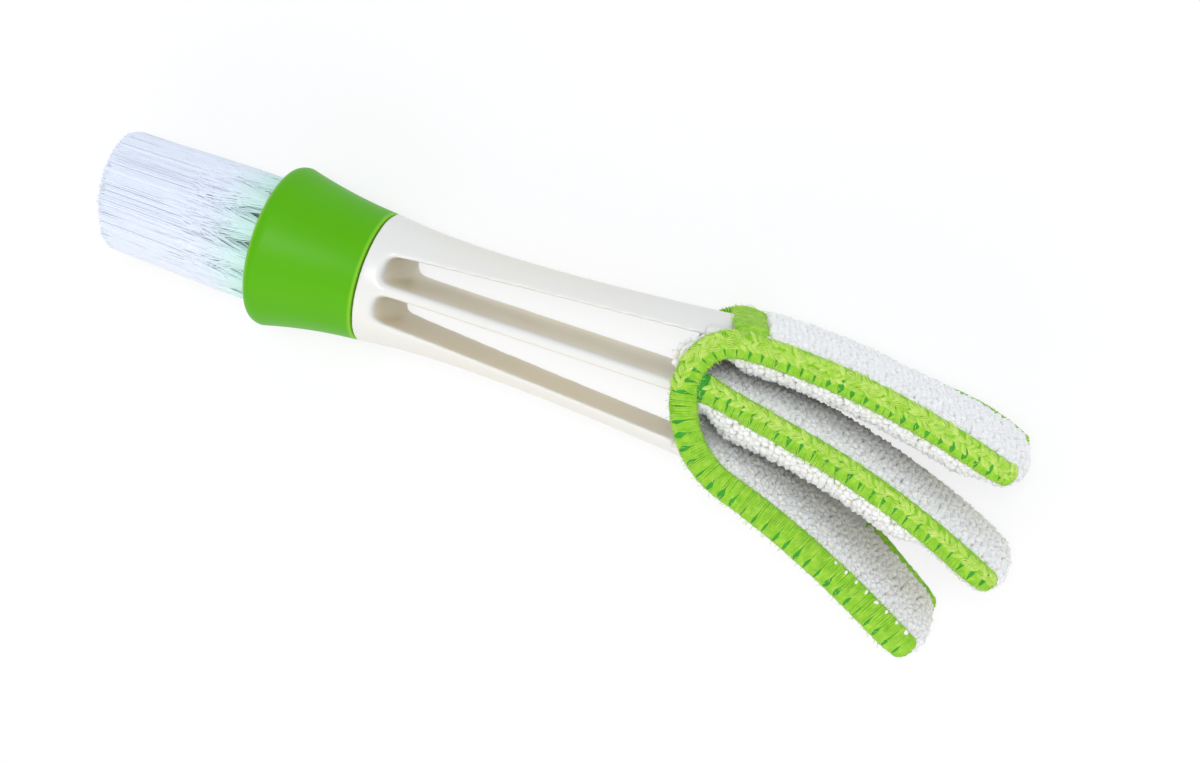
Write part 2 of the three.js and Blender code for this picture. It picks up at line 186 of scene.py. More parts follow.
class BrushSettings(PropertyGroup):
    """The bristles of the tufts, how they are cut, and their tints"""

    strands_per_tuft: IntProperty(name="Strands", description="Bristles in one tuft", default=360)
    cover_strands: IntProperty(
        name="Cover strands", description="Bristles of an outer tuft that fan out", default=130,
    )
    strand_diameter: length("Strand", "Diameter of one bristle", 0.2)
    tuft_radius: length("Tuft", "Radius of a tuft at its hole", 1.65)
    reach: length("Reach", "How far the bristles stand out of the collar", 34.6)
    crown: length("Crown", "How much shorter the outermost bristles are", 3.6)
    slant: length("Slant", "How much longer the bristles are at the top of the row", 1.2)
    unevenness: length("Unevenness", "How far cut ends differ", 0.7)
    stray: length("Stray", "How far a bristle's tip wanders from its tuft", 0.3)
    sway: length("Sway", "How far the whole brush leans across the row", 0.6)
    white: colour("White", "Colour of the nylon", "#EEF5FF")
    # root_green_light is painted light: green light from the collar, painted on the nylon near its
    # roots
    root_green_light: colour("Root tint", "Green that the nylon carries out of the collar", "#D4F5EE")


class GloveSettings(PropertyGroup):
    """The strip of cloth, how it lies, and its pile"""

    cloth_width: length("Cloth width", "Width of the strip of cloth", 26.4)
    sleeve: length("Sleeve", "From a blade's middle to the cloth's backing", 2.4)
    hang: length("Hang", "How much further the cloth hangs off a finger's hollow side", 2.5)
    seam: length("Seam", "The same distance where the two layers are sewn together", 0.8)
    backing: length("Backing", "Thickness of the knitted backing", 0.5)
    pile_step: length("Pile step", "Distance between clumps of pile along the strip", 1.15)
    pile_row: length("Pile row", "Distance between clumps of pile across the strip", 1.5)
    pile_height: length("Pile height", "How far the pile stands out of the backing", 1.3)
    white: colour("White", "Colour of the fibres' ends", "#FCFDFA")
    # shade is painted shade: the colour that the pile darkens to at the clumps' feet and between
    # the fingers
    shade: colour("Shade", "Colour deep in the pile and between the fingers", "#DEDABC")


class EdgingSettings(PropertyGroup):
    """The sewn edge, its threads and loops, and the yarns' colours"""

    width: length("Width", "Width of the sewn edge", 4.6)
    hem_width: length("Hem width", "Width of the sewn edge across a prong", 6.4)
    depth: length("Depth", "Thickness of the sewn edge", 1.8)
    thread: length("Thread", "Diameter of a wound thread", 0.36)
    stitch: length("Stitch", "Length of one stitch along the edge", 2.4)
    turns: IntProperty(name="Turns", description="Turns of thread in one stitch", default=8)
    loop_pitch: length("Loop pitch", "Distance between the loops of a row", 1.25)
    loop_width: length("Loop width", "Width of one loop of the chain", 1.05)
    loop_height: length("Loop height", "Height of one loop of the chain", 0.85)
    loop_fibres: IntProperty(name="Loop fibres", description="Fibres in one loop", default=5)
    fuzz: length("Fuzz", "How far loose fibres stand off the yarn", 0.7)
    lime: colour("Lime", "Colour of the wound yarn", "#84CA18")
    light_lime: colour("Light lime", "Colour of the wound yarn's raised fibres", "#B0E044")
    # loop_highlight_lime and pale_highlight_lime are a painted highlight: the chain's raised loops,
    # paler than the wound yarn where light catches them
    loop_highlight_lime: colour("Loop lime", "Colour of the chain's loops", "#AADC3A")
    pale_highlight_lime: colour("Pale lime", "Colour of the loops' raised fibres", "#D8EE80")
    # shade_green and shade_fibre_green are painted shade: the dark green of the core in the holes
    # between the stitches and of the bare start under the rim
    shade_green: colour("Deep green", "Colour between the stitches", "#2E9826")
    shade_fibre_green: colour("Mid green", "Colour of the raised fibres between the stitches", "#44AC30")


class StageSettings(PropertyGroup):
    """The camera and the floor"""

    camera_place: FloatVectorProperty(
        name="Camera place", description="Where the camera stands", subtype="TRANSLATION",
        unit="LENGTH", default=(84.01 * MM, 77.53 * MM, 393.80 * MM),
    )
    camera_turn: FloatVectorProperty(
        name="Camera turn", description="How the camera is turned", subtype="EULER",
        unit="ROTATION", default=[math.radians(angle) for angle in (-7.391, 13.541, 16.545)],
    )
    lens: FloatProperty(
        name="Lens", description="Focal length on the sensor, in mm", default=64.92,
    )
    sensor: FloatProperty(name="Sensor", description="Width of the sensor, in mm", default=36)
    floor: colour("Floor", "Colour of the floor", "#F8F8F8")


class VentBrushSettings(PropertyGroup):
    """All settings of the brush"""

    handle: PointerProperty(type=HandleSettings)
    collar: PointerProperty(type=CollarSettings)
    brush: PointerProperty(type=BrushSettings)
    glove: PointerProperty(type=GloveSettings)
    edging: PointerProperty(type=EdgingSettings)
    stage: PointerProperty(type=StageSettings)


# Routes

class Finger:
    """A finger's centre line, which leaves its root along X and bends down the row.

    The seam can start out above that line. The cloth hangs off the hollow side up to a share of the
    run, and from another share on its far edge is twisted up the row.
    """

    SHARE_STEPS = 200

    def __init__(
        self, side, reach, drop, rise, seam_lift=0, hang=0, hang_to=1, twist=0, twist_from=0,
    ):
        self.root = Vector((SEAM_X + HANDLE_LENGTH, AXIS.y + side * OUTER_ROOT, AXIS.z))
        self.bend = self.root + Vector((reach * BEND_SHARE, rise, 0))
        self.tip = self.root + Vector((reach, -drop, 0))
        self.seam_lift = seam_lift
        self.hang_share = hang
        self.hang_to = hang_to
        self.twist = twist
        self.twist_from = twist_from

    def at(self, t):
        """The point at a share of the run."""
        return bent(self.root, self.bend, self.tip, t)

    def ahead(self, t):
        """The way that the finger goes there."""
        return ((1 - t) * (self.bend - self.root) + t * (self.tip - self.bend)).normalized()

    def left(self, t):
        """The way across the row there, towards its top."""
        return UP.cross(self.ahead(t))

    def seam(self, t):
        """The line that the edge is sewn along, which may start out above the centre line."""
        t_on = max(0, t)
        lift = self.seam_lift * max(0, 1 - t_on / SEAM_SETTLES) ** 2
        return self.at(t) + self.left(t_on) * lift

    def far_seam(self, t):
        """The same line on the finger's far side."""
        twisted = eased((t - self.twist_from) / TWIST_SETTLES)
        eases = 1 - TWIST_EASES_BY * eased((t - TWIST_EASES_FROM) / (1 - TWIST_EASES_FROM))
        return self.seam(t) + self.left(t) * self.twist * twisted * eases

    def hang(self, t):
        """How much of the cloth's slack hangs off the hollow side, as a share."""
        ends = eased((self.hang_to - t) / HANG_SETTLES)
        return self.hang_share * eased(t / HANG_SETTLES) * ends

    def share(self, distance):
        """The share of the run at a distance from the root."""
        route = Route([self.at(t) for t in spread(0, 1, self.SHARE_STEPS)])
        place, part = route.find(distance)
        return (place + part) / self.SHARE_STEPS


class Route:
    """A run of points that can be read at any distance along it."""

    # How far to either side a direction is read
    LOOK = 0.6 * MM

    def __init__(self, points):
        self.points = points
        self.marks = [0]
        for before, after in zip(points, points[1:]):
            self.marks.append(self.marks[-1] + (after - before).length)
        self.length = self.marks[-1]

    def find(self, distance):
        """The last point before a distance, and the share of the way to the next one."""
        distance = min(max(distance, 0), self.length)
        place = min(bisect.bisect_right(self.marks, distance), len(self.points) - 1) - 1
        part = (distance - self.marks[place]) / (self.marks[place + 1] - self.marks[place])
        return place, part

    def at(self, distance):
        """The point at a distance."""
        place, part = self.find(distance)
        return self.points[place].lerp(self.points[place + 1], part)

    def ahead(self, distance):
        """The way that the route goes there."""
        return (self.at(distance + self.LOOK) - self.at(distance - self.LOOK)).normalized()


def spread(start, end, steps):
    """Evenly spaced values from start to end."""
    return [start + (end - start) * i / steps for i in range(steps + 1)]


def bent(start, pull, end, t):
    """A point of a bend between two ends that leans towards a third point."""
    return (1 - t) ** 2 * start + 2 * t * (1 - t) * pull + t ** 2 * end


def eased(value):
    """A share from 0 to 1 that sets out and arrives gently."""
    value = min(max(value, 0), 1)
    return value * value * (3 - 2 * value)


def corner_drop(distance):
    """How far a finger's corner is rounded off at a distance from its tip."""
    short = max(0, 1 - distance / CORNER_LENGTH)
    return CORNER_DEPTH * (1 - math.sqrt(1 - short ** 2))


TOP = Finger(
    side=1, reach=51.5 * MM, drop=6.6 * MM, rise=1.8 * MM, hang=0.9, twist=3.2 * MM, twist_from=0.6,
)
MIDDLE = Finger(
    side=0, reach=54 * MM, drop=13.8 * MM, rise=0, seam_lift=2 * MM, hang=1.3, hang_to=0.84,
)
BOTTOM = Finger(
    side=-1, reach=44.3 * MM, drop=18.2 * MM, rise=-4.6 * MM, twist=3.6 * MM, twist_from=0.1,
)


class Fold:
    """The strip of cloth: up and round each finger in turn, with a web between neighbours."""

    SIDE_STEPS = 60
    TIP_STEPS = 12
    WEB_STEPS = 24
    # How square the cloth's section is: 2 would be an ellipse
    SQUARENESS = 3
    # How far to either side a slope is read
    LOOK = 0.3 * MM

    def __init__(self, glove):
        self.half_width = glove.cloth_width / 2
        wide = self.sections(glove.sleeve, glove.hang, Finger.at)
        self.route = Route([point for section in wide for point in section])
        self.near_edge, self.far_edge = (
            [point for section in self.sections(glove.seam, 0, line) for point in section]
            for line in (Finger.seam, Finger.far_seam)
        )
        starts = [sum(len(section) for section in wide[:i]) for i in range(len(wide) + 1)]
        self.ends = [self.route.marks[start - 1] for start in starts[1:]]
        # Every other section is a finger, with its tip halfway round its turn
        to_tip = self.SIDE_STEPS + self.TIP_STEPS // 2
        self.tips = [self.route.marks[start + to_tip] for start in starts[:-1:2]]

    def sections(self, offset, hang, line):
        """Points along each finger and web in turn, at an offset from a line of the fingers."""
        cloth_start = HEM_LENGTH - HEM_COVER
        top_hem = TOP.share(TOP_HEM_START + cloth_start)
        bottom_hem = BOTTOM.share(BOTTOM_HEM_START + cloth_start)
        return [
            self.sleeve(TOP, line, offset, hang, top_hem, 0),
            self.web(TOP, MIDDLE, line, offset, UPPER_WEB_DEPTH),
            self.sleeve(MIDDLE, line, offset, hang, 0, 0),
            self.web(MIDDLE, BOTTOM, line, offset, LOWER_WEB_DEPTH),
            self.sleeve(BOTTOM, line, offset, hang, 0, bottom_hem),
        ]

    def sleeve(self, finger, line, offset, hang, left_from, right_to):
        """Up a finger's left side, round its tip and down its right side, which may hang."""
        up = []
        for t in spread(left_from, 1, self.SIDE_STEPS):
            up.append(line(finger, t) + finger.left(t) * offset)
        turn = []
        for angle in spread(0, math.pi, self.TIP_STEPS)[1:-1]:
            ahead = finger.ahead(1) * math.sin(angle) * TIP_STRETCH
            turn.append(line(finger, 1) + (finger.left(1) * math.cos(angle) + ahead) * offset)
        down = []
        for t in spread(1, right_to, self.SIDE_STEPS):
            down.append(line(finger, t) - finger.left(t) * (offset + hang * finger.hang(t)))
        return up + turn + down

    def web(self, upper, lower, line, offset, depth):
        """From one finger's root to the next one's, in a bow that reaches back between them."""
        start = line(upper, 0) - upper.left(0) * offset
        end = line(lower, 0) + lower.left(0) * offset
        pulls = start - upper.ahead(0) * depth, end - lower.ahead(0) * depth
        return interpolate_bezier(start, *pulls, end, self.WEB_STEPS)[1:-1]

    def at(self, distance, across):
        """Where the cloth lies at a distance along the strip and across it from its middle."""
        place, part = self.route.find(distance)
        wide = self.route.points[place].lerp(self.route.points[place + 1], part)
        edge = self.near_edge if across > 0 else self.far_edge
        drawn = edge[place].lerp(edge[place + 1], part)
        rim = min(1, abs(across) / self.half_width)
        off_tip = min(abs(distance - tip) for tip in self.tips)
        narrow = 1 - corner_drop(off_tip) / self.half_width
        full = math.sqrt(1 - rim ** self.SQUARENESS)
        return drawn.lerp(wide, full) + UP * across * narrow

    def normal(self, distance, across):
        """Out of the pile side of the cloth."""
        look = self.LOOK
        along = self.at(distance + look, across) - self.at(distance - look, across)
        beside = self.at(distance, across + look) - self.at(distance, across - look)
        return beside.cross(along).normalized()


# Meshes

def new_object(name, data):
    """Puts data in the scene as an object."""
    thing = bpy.data.objects.new(name, data)
    bpy.context.scene.collection.objects.link(thing)
    return thing


def new_piece(name, mesh, body, slot, *materials):
    """Puts a mesh in the scene as a piece that rides on a body."""
    mesh.name = name
    for material in materials:
        mesh.materials.append(material)
    piece = new_object(name, mesh)
    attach(piece, body)
    return piece


def to_mesh(bm, smooth_angle=None):
    """Ends a bmesh as a smooth-shaded mesh, with edges over an angle left sharp."""
    mesh = bpy.data.meshes.new("mesh")
    bm.to_mesh(mesh)
    bm.free()
    mesh.shade_smooth()
    if smooth_angle is not None:
        mesh.set_sharp_from_angle(angle=smooth_angle)
    return mesh


def applied(data, kind=None, **settings):
    """A mesh or a curve as a new mesh, after one modifier where a kind is given."""
    carrier = new_object("carrier", data)
    if kind:
        modifier = carrier.modifiers.new("shape", kind)
        for name, value in settings.items():
            setattr(modifier, name, value)
    graph = bpy.context.evaluated_depsgraph_get()
    shaped = bpy.data.meshes.new_from_object(carrier.evaluated_get(graph))
    bpy.data.objects.remove(carrier)
    kept_in = bpy.data.meshes if isinstance(data, bpy.types.Mesh) else bpy.data.curves
    kept_in.remove(data)
    return shaped


def mark(mesh, name, values):
    """Gives each point of a mesh a number that its material reads."""
    mesh.attributes.new(name, "FLOAT", "POINT").data.foreach_set("value", values)


def closed(bm, fill=False):
    """Joins a shape where it meets itself, fills open ends if asked, and turns its faces out."""
    bmesh.ops.remove_doubles(bm, verts=bm.verts, dist=MERGE)
    if fill:
        bmesh.ops.holes_fill(bm, edges=bm.edges)
    bmesh.ops.recalc_face_normals(bm, faces=bm.faces)
    return bm


def shaped_grid(columns, rows, rule):
    """A grid of faces whose points are put in place by a rule of two shares from 0 to 1."""
    bm = bmesh.new()
    bmesh.ops.create_grid(bm, x_segments=columns, y_segments=rows, size=0.5)
    for vert in bm.verts:
        vert.co = rule(vert.co.x + 0.5, vert.co.y + 0.5)
    return bm


def spun(profile, steps):
    """A closed profile of (distance along X from the seam, radius) points turned about the axis."""
    bm = bmesh.new()
    verts = [bm.verts.new((SEAM_X + x, AXIS.y, AXIS.z + radius)) for x, radius in profile]
    edges = [bm.edges.new(pair) for pair in zip(verts, verts[1:] + verts[:1])]
    bmesh.ops.spin(
        bm, geom=verts + edges, cent=AXIS, axis=(1, 0, 0), angle=math.tau, steps=steps,
        use_merge=True, use_duplicate=False,
    )
    return closed(bm)


def strands(routes, diameter):
    """Round strands along runs of points, as one mesh."""
    curve = bpy.data.curves.new("strands", "CURVE")
    curve.dimensions = "3D"
    curve.bevel_depth = diameter / 2
    curve.bevel_resolution = 0
    curve.use_fill_caps = True
    for points in routes:
        spline = curve.splines.new("POLY")
        spline.points.add(len(points) - 1)
        for point, place in zip(spline.points, points):
            point.co = (*place, 1)
    mesh = applied(curve)
    mesh.shade_smooth()
    return mesh


def pile_clumps(places):
    """Clumps of looped fibres, one unit high and wide until put in place, with painted shade at
    their feet, so paler at their ends.

    Each place is a matrix and the whiteness of the clump's end, which is less where more shade is
    painted.
    """
    shape = {"subdivisions": 1, "radius": 0.5}
    bm = bmesh.new()
    sample = bmesh.ops.create_icosphere(bm, **shape)["verts"]
    heights = [vert.co.z + shape["radius"] for vert in sample]
    bm.clear()
    paleness = []
    for place, whiteness in places:
        bmesh.ops.create_icosphere(bm, matrix=place, **shape)
        paleness += [height * whiteness for height in heights]
    mesh = to_mesh(bm)
    mark(mesh, "paleness", paleness)
    return mesh


def gathered(*meshes):
    """Several meshes as one, each with its own material slot."""
    bm = bmesh.new()
    for number, mesh in enumerate(meshes):
        for face in mesh.polygons:
            face.material_index = number
        bm.from_mesh(mesh)
        bpy.data.meshes.remove(mesh)
    joined = bpy.data.meshes.new("mesh")
    bm.to_mesh(joined)
    bm.free()
    return joined


# Materials

# A Mix node's two colours are these of its inputs, and its mixed colour is this of its outputs
MIX_FROM, MIX_TO, MIXED = 6, 7, 2


def new_material(name):
    """A material with only its output and its shader."""
    material = bpy.data.materials.new(name)
    material.use_nodes = True
    return material, material.node_tree.nodes["Principled BSDF"]


def put(owner, node, inputs):
    """Sets or links each of a node's inputs in a material or a world."""
    for socket, value in inputs.items():
        if isinstance(value, bpy.types.NodeSocket):
            owner.node_tree.links.new(value, node.inputs[socket])
        else:
            node.inputs[socket].default_value = value


def add(owner, kind, inputs, **settings):
    """Adds a node to a material or a world, with its settings and inputs."""
    node = owner.node_tree.nodes.new(kind)
    for name, value in settings.items():
        setattr(node, name, value)
    put(owner, node, inputs)
    return node


def noise(material, place, size, detail, roughness=0.5):
    """A soft random pattern of a size, read at a place."""
    pattern = add(material, "ShaderNodeTexNoise", {
        "Vector": place, "Scale": 1 / size, "Detail": detail, "Roughness": roughness,
    })
    return pattern.outputs["Fac"]


def ranged(material, value, limits, **settings):
    """A value brought from one range to another, each 0 to 1 where the limits don't say."""
    node = add(material, "ShaderNodeMapRange", {"Value": value, **limits}, **settings)
    return node.outputs["Result"]


def mixed(material, share, low, high):
    """A colour at a share of the way from one to another."""
    mix = add(material, "ShaderNodeMix", {
        "Factor": share, MIX_FROM: (*low, 1), MIX_TO: (*high, 1),
    }, data_type="RGBA")
    return mix.outputs[MIXED]


def grained(material, place, size, detail, strength, depth, roughness=0.5):
    """The normal of a surface with a grain of a size, read at a place."""
    bump = add(material, "ShaderNodeBump", {
        "Height": noise(material, place, size, detail, roughness),
        "Strength": strength, "Distance": depth,
    })
    return bump.outputs["Normal"]


def uneven(material, tint, source, low, high):
    """A tint that is a little darker or lighter from place to place."""
    shade = add(material, "ShaderNodeHueSaturation", {
        "Color": tint, "Value": ranged(material, source, {"To Min": low, "To Max": high}),
    })
    return shade.outputs["Color"]


def moulded_polypropylene(handle):
    """White polypropylene from a polished mould: an even satin skin, milky at its edges, with
    painted shade deep in the slots.
    """
    material, shader = new_material("white_moulded_polypropylene")
    place = add(material, "ShaderNodeTexCoord", {}).outputs["Object"]
    depth = add(material, "ShaderNodeAttribute", {}, attribute_name="slot_shade_depth").outputs["Fac"]
    # Clouds of about 8 mm, as plastic that cools unevenly shows
    cloudy = noise(material, place, 8 * MM, detail=2)
    # A grain of 0.35 mm, coarser than a real mould's so that it shows
    normal = grained(material, place, 0.35 * MM, detail=1, strength=0.05, depth=0.02 * MM)
    put(material, shader, {
        # Painted shade: the white turns to the warm slot shade tint deep inside the slots
        "Base Color": mixed(material, depth, handle.white, handle.slot_shade_tint),
        "Roughness": ranged(material, cloudy, {"To Min": 0.3, "To Max": 0.42}),
        "Normal": normal,
        "IOR": 1.49,
        "Subsurface Weight": 0.12,
        "Subsurface Radius": (1, 0.8, 0.55),
        "Subsurface Scale": 1.5 * MM,
    })
    return material


def moulded_green(collar):
    """Green polypropylene, moulded with a fine satin texture, with a painted highlight along its
    thin edges.
    """
    material, shader = new_material("green_moulded_polypropylene")
    place = add(material, "ShaderNodeTexCoord", {}).outputs["Object"]
    # Clouds of about 9 mm, as plastic that cools unevenly shows
    cloudy = noise(material, place, 9 * MM, detail=2)
    along = add(material, "ShaderNodeSeparateXYZ", {"Vector": place}).outputs["X"]
    seam = SEAM_X - CLEARANCE
    # A painted highlight along the edge at the seam, 0.7 mm wide
    by_seam = ranged(material, along, {"From Min": seam - 0.7 * MM, "From Max": seam})
    # A painted highlight along the edge at the mouth, 1 mm wide and brightest 0.2 mm in from its
    # end
    by_mouth = ranged(material, along, {
        "From Min": MOUTH_X + 1.2 * MM, "From Max": MOUTH_X + 0.2 * MM,
    })
    # thin is the painted highlight's share at either edge
    thin = add(material, "ShaderNodeMath", {0: by_seam, 1: by_mouth}, operation="MAXIMUM")
    tint = mixed(material, thin.outputs[0], collar.green, collar.edge_highlight_green)
    # A spark-eroded grain of 0.3 mm
    normal = grained(material, place, 0.3 * MM, detail=2, strength=0.12, depth=0.03 * MM)
    put(material, shader, {
        "Base Color": uneven(material, tint, cloudy, 0.96, 1.04),
        "Normal": normal,
        "Roughness": 0.42,
        "IOR": 1.49,
        "Specular IOR Level": 0.15,
    })
    return material


def nylon_filament(brush):
    """Drawn nylon filament: smooth, whitish and a little see-through, with the collar's green light
    painted near its roots.
    """
    material, shader = new_material("white_nylon_filament")
    place = add(material, "ShaderNodeTexCoord", {}).outputs["Object"]
    along = add(material, "ShaderNodeSeparateXYZ", {"Vector": place}).outputs["X"]
    # The painted green light fades over 11 mm from the collar's mouth, and is full 1 mm inside it
    fade = ranged(material, along, {
        "From Min": MOUTH_X - 11 * MM, "From Max": MOUTH_X + 1 * MM,
    }, interpolation_type="SMOOTHSTEP")
    tint = mixed(material, fade, brush.white, brush.root_green_light)
    island = add(material, "ShaderNodeNewGeometry", {}).outputs["Random Per Island"]
    lengthwise = add(material, "ShaderNodeMapping", {
        "Vector": place,
        # Streaks 14 mm long and 0.22 mm wide, which are the bristles that a packed tuft shows
        "Scale": (1 / (14 * MM), 1 / (0.22 * MM), 1 / (0.22 * MM)),
    }).outputs["Vector"]
    # The mapping has brought a streak to a size of one
    normal = grained(material, lengthwise, 1, detail=2, strength=0.25, depth=0.1 * MM)
    put(material, shader, {
        "Base Color": uneven(material, tint, island, 0.96, 1.03),
        "Normal": normal,
        "Roughness": 0.36,
        "IOR": 1.53,
    })
    return material


def microfibre_pile(glove):
    """Microfibre terry: split polyester in soft clumps, matt, with a pale sheen at its outline and
    painted shade deep in the pile.
    """
    material, shader = new_material("white_microfibre_pile")
    place = add(material, "ShaderNodeTexCoord", {}).outputs["Object"]
    paleness = add(material, "ShaderNodeAttribute", {}, attribute_name="paleness").outputs["Fac"]
    # Painted shade: the pile goes from the shade colour at the clumps' feet to white at their ends
    ends = ranged(material, paleness, {"From Min": 0.2, "From Max": 0.8})
    tint = mixed(material, ends, glove.shade, glove.white)
    island = add(material, "ShaderNodeNewGeometry", {}).outputs["Random Per Island"]
    # Fibre ends of 0.25 mm, coarser than real ones so that they show
    normal = grained(
        material, place, 0.25 * MM, detail=3, strength=0.5, depth=0.2 * MM, roughness=0.7,
    )
    put(material, shader, {
        "Base Color": uneven(material, tint, island, 0.95, 1.01),
        "Normal": normal,
        "Roughness": 0.95,
        "Sheen Weight": 1,
        "Sheen Roughness": 0.5,
        "Subsurface Weight": 0.3,
        "Subsurface Radius": (1, 0.95, 0.8),
        "Subsurface Scale": 0.8 * MM,
    })
    return material


def overlock_yarn(name, low, high):
    """Textured polyester yarn, wound round an edge: matt, with paler raised fibres."""
    material, shader = new_material(name)
    place = add(material, "ShaderNodeTexCoord", {}).outputs["Object"]
    # Paler stretches of about 1.6 mm, where fibres stand up
    blotches = noise(material, place, 1.6 * MM, detail=4, roughness=0.65)
    share = ranged(material, blotches, {"From Min": 0.35, "From Max": 0.7})
    # Filaments of 0.18 mm, coarser than real ones so that they show
    normal = grained(material, place, 0.18 * MM, detail=2, strength=0.6, depth=0.12 * MM)
    put(material, shader, {
        "Base Color": mixed(material, share, low, high),
        "Normal": normal,
        "Roughness": 0.8,
        "Sheen Weight": 0.2,
        "Sheen Roughness": 0.4,
    })
    return material


# Pieces

class VENTBRUSH_OT_handle(Operator):
    """Softens the moulding's edges and finishes it in white plastic"""

    bl_idname = "ventbrush.handle"
    bl_label = "Handle"

    # How often the whole skin is softened, and how far from the seam it stays that crisp
    CRISP_PASSES = 9
    SHOULDER = 1.4 * MM
    # The share of the way to its neighbours' middle that a point goes in one pass
    PASS_SHARE = 0.5
    # Where the slots' painted shade starts and over how much it grows, as shares of the outline's
    # radius
    TINT_FROM = 0.97
    TINT_GROWS = 0.25
    # The share of the handle's length past its end in which the painted shade fades
    TINT_FADES = 1 / 30

    def execute(self, context):
        settings = context.scene.vent_brush.handle
        bm = bmesh.new()
        bm.from_mesh(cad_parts["handle"].data)
        bmesh.ops.remove_doubles(bm, verts=bm.verts, dist=MERGE)
        skin = applied(to_mesh(bm), "REMESH", mode="VOXEL", voxel_size=settings.facet)
        bm = bmesh.new()
        bm.from_mesh(skin)
        bpy.data.meshes.remove(skin)
        self.soften(bm, bm.verts, self.CRISP_PASSES)
        body = [vert for vert in bm.verts if vert.co.x > SEAM_X + self.SHOULDER]
        self.soften(bm, body, settings.fillet_passes)
        bmesh.ops.triangulate(bm, faces=bm.faces)
        share = min(1, settings.triangles / len(bm.faces))
        mesh = applied(to_mesh(bm), "DECIMATE", ratio=share)
        # How much painted shade each point takes in the slots
        mark(mesh, "slot_shade_depth", [self.depth(vert.co) for vert in mesh.vertices])
        white = moulded_polypropylene(settings)
        piece = new_piece("moulded_handle", mesh, "handle", "handle_plastic", white)
        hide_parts("handle")
        return {"FINISHED"}

    def soften(self, bm, verts, passes):
        """Draws points towards their neighbours, time after time."""
        for _ in range(passes):
            bmesh.ops.smooth_vert(
                bm, verts=verts, factor=self.PASS_SHARE,
                use_axis_x=True, use_axis_y=True, use_axis_z=True,
            )

    def depth(self, point):
        """How deep in the slots a point lies, and so how much painted shade it takes: 0 on the
        outside, 1 well inside.
        """
        along = (point.x - SEAM_X) / HANDLE_LENGTH
        wide = SEAM_RADIUS + (HEM_HALF_SPREAD - SEAM_RADIUS) * max(along, 0)
        share = math.hypot((point.y - AXIS.y) / wide, (point.z - AXIS.z) / WAIST_RADIUS)
        fades = 1 - eased((along - 1) / self.TINT_FADES)
        return eased((self.TINT_FROM - share) / self.TINT_GROWS) * fades


class VENTBRUSH_OT_collar(Operator):
    """Turns the tapered collar that holds the brush, and finishes the block inside it"""

    bl_idname = "ventbrush.collar"
    bl_label = "Collar"

    TURN_STEPS = 128
    FLARE_STEPS = 24
    RIM_STEPS = 12
    EDGE_STEPS = 3

    def execute(self, context):
        settings = context.scene.vent_brush.collar
        green = moulded_green(settings)
        bm = spun(self.profile(), self.TURN_STEPS)
        piece = new_piece("tapered_collar", to_mesh(bm), "handle", "collar_plastic", green)
        bevel = piece.modifiers.new("moulded_edges", "BEVEL")
        bevel.width = settings.edge_round
        bevel.segments = self.EDGE_STEPS
        bevel.limit_method = "ANGLE"
        bevel.angle_limit = SHARP_EDGE
        bevel.harden_normals = True
        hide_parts("collar")
        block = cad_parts["tuft_block"]
        block.data.materials.clear()
        block.data.materials.append(green)
        return {"FINISHED"}

    def profile(self):
        """From the seam, along the flared outside and round the rim, back through the pocket."""
        rim_x = -COLLAR_LENGTH + COLLAR_RIM_ROUND
        middle_radius = (SEAM_RADIUS + COLLAR_RIM_RADIUS) / 2 - COLLAR_FLARE_BOW
        flare = [
            Vector((-CLEARANCE, SEAM_RADIUS)),
            Vector((rim_x / 2, middle_radius)),
            Vector((rim_x, COLLAR_RIM_RADIUS)),
        ]
        rim = [
            flare[-1],
            Vector((-COLLAR_LENGTH, COLLAR_RIM_RADIUS)),
            Vector((-COLLAR_LENGTH, COLLAR_RIM_RADIUS - COLLAR_RIM_ROUND)),
        ]
        outside = [bent(*flare, t) for t in spread(0, 1, self.FLARE_STEPS)]
        outside += [bent(*rim, t) for t in spread(0, 1, self.RIM_STEPS)[1:]]
        pocket_x = -COLLAR_LENGTH + COLLAR_POCKET_DEPTH
        bore = SPIGOT_RADIUS + CLEARANCE
        bore_x = -SPIGOT_LENGTH - CLEARANCE
        return outside + [
            (-COLLAR_LENGTH, COLLAR_MOUTH_RADIUS),
            (pocket_x, COLLAR_MOUTH_RADIUS),
            (pocket_x, DIVIDER_HOLE_RADIUS),
            (bore_x, DIVIDER_HOLE_RADIUS),
            (bore_x, bore),
            (-CLEARANCE, bore),
        ]


def outwards(angle):
    """A step of one away from the brush's axis, at an angle round it."""
    return Vector((0, math.cos(angle), math.sin(angle)))


def scattered(rng, size):
    """A random step across the brush's axis."""
    return Vector((0, rng.gauss(0, size), rng.gauss(0, size)))


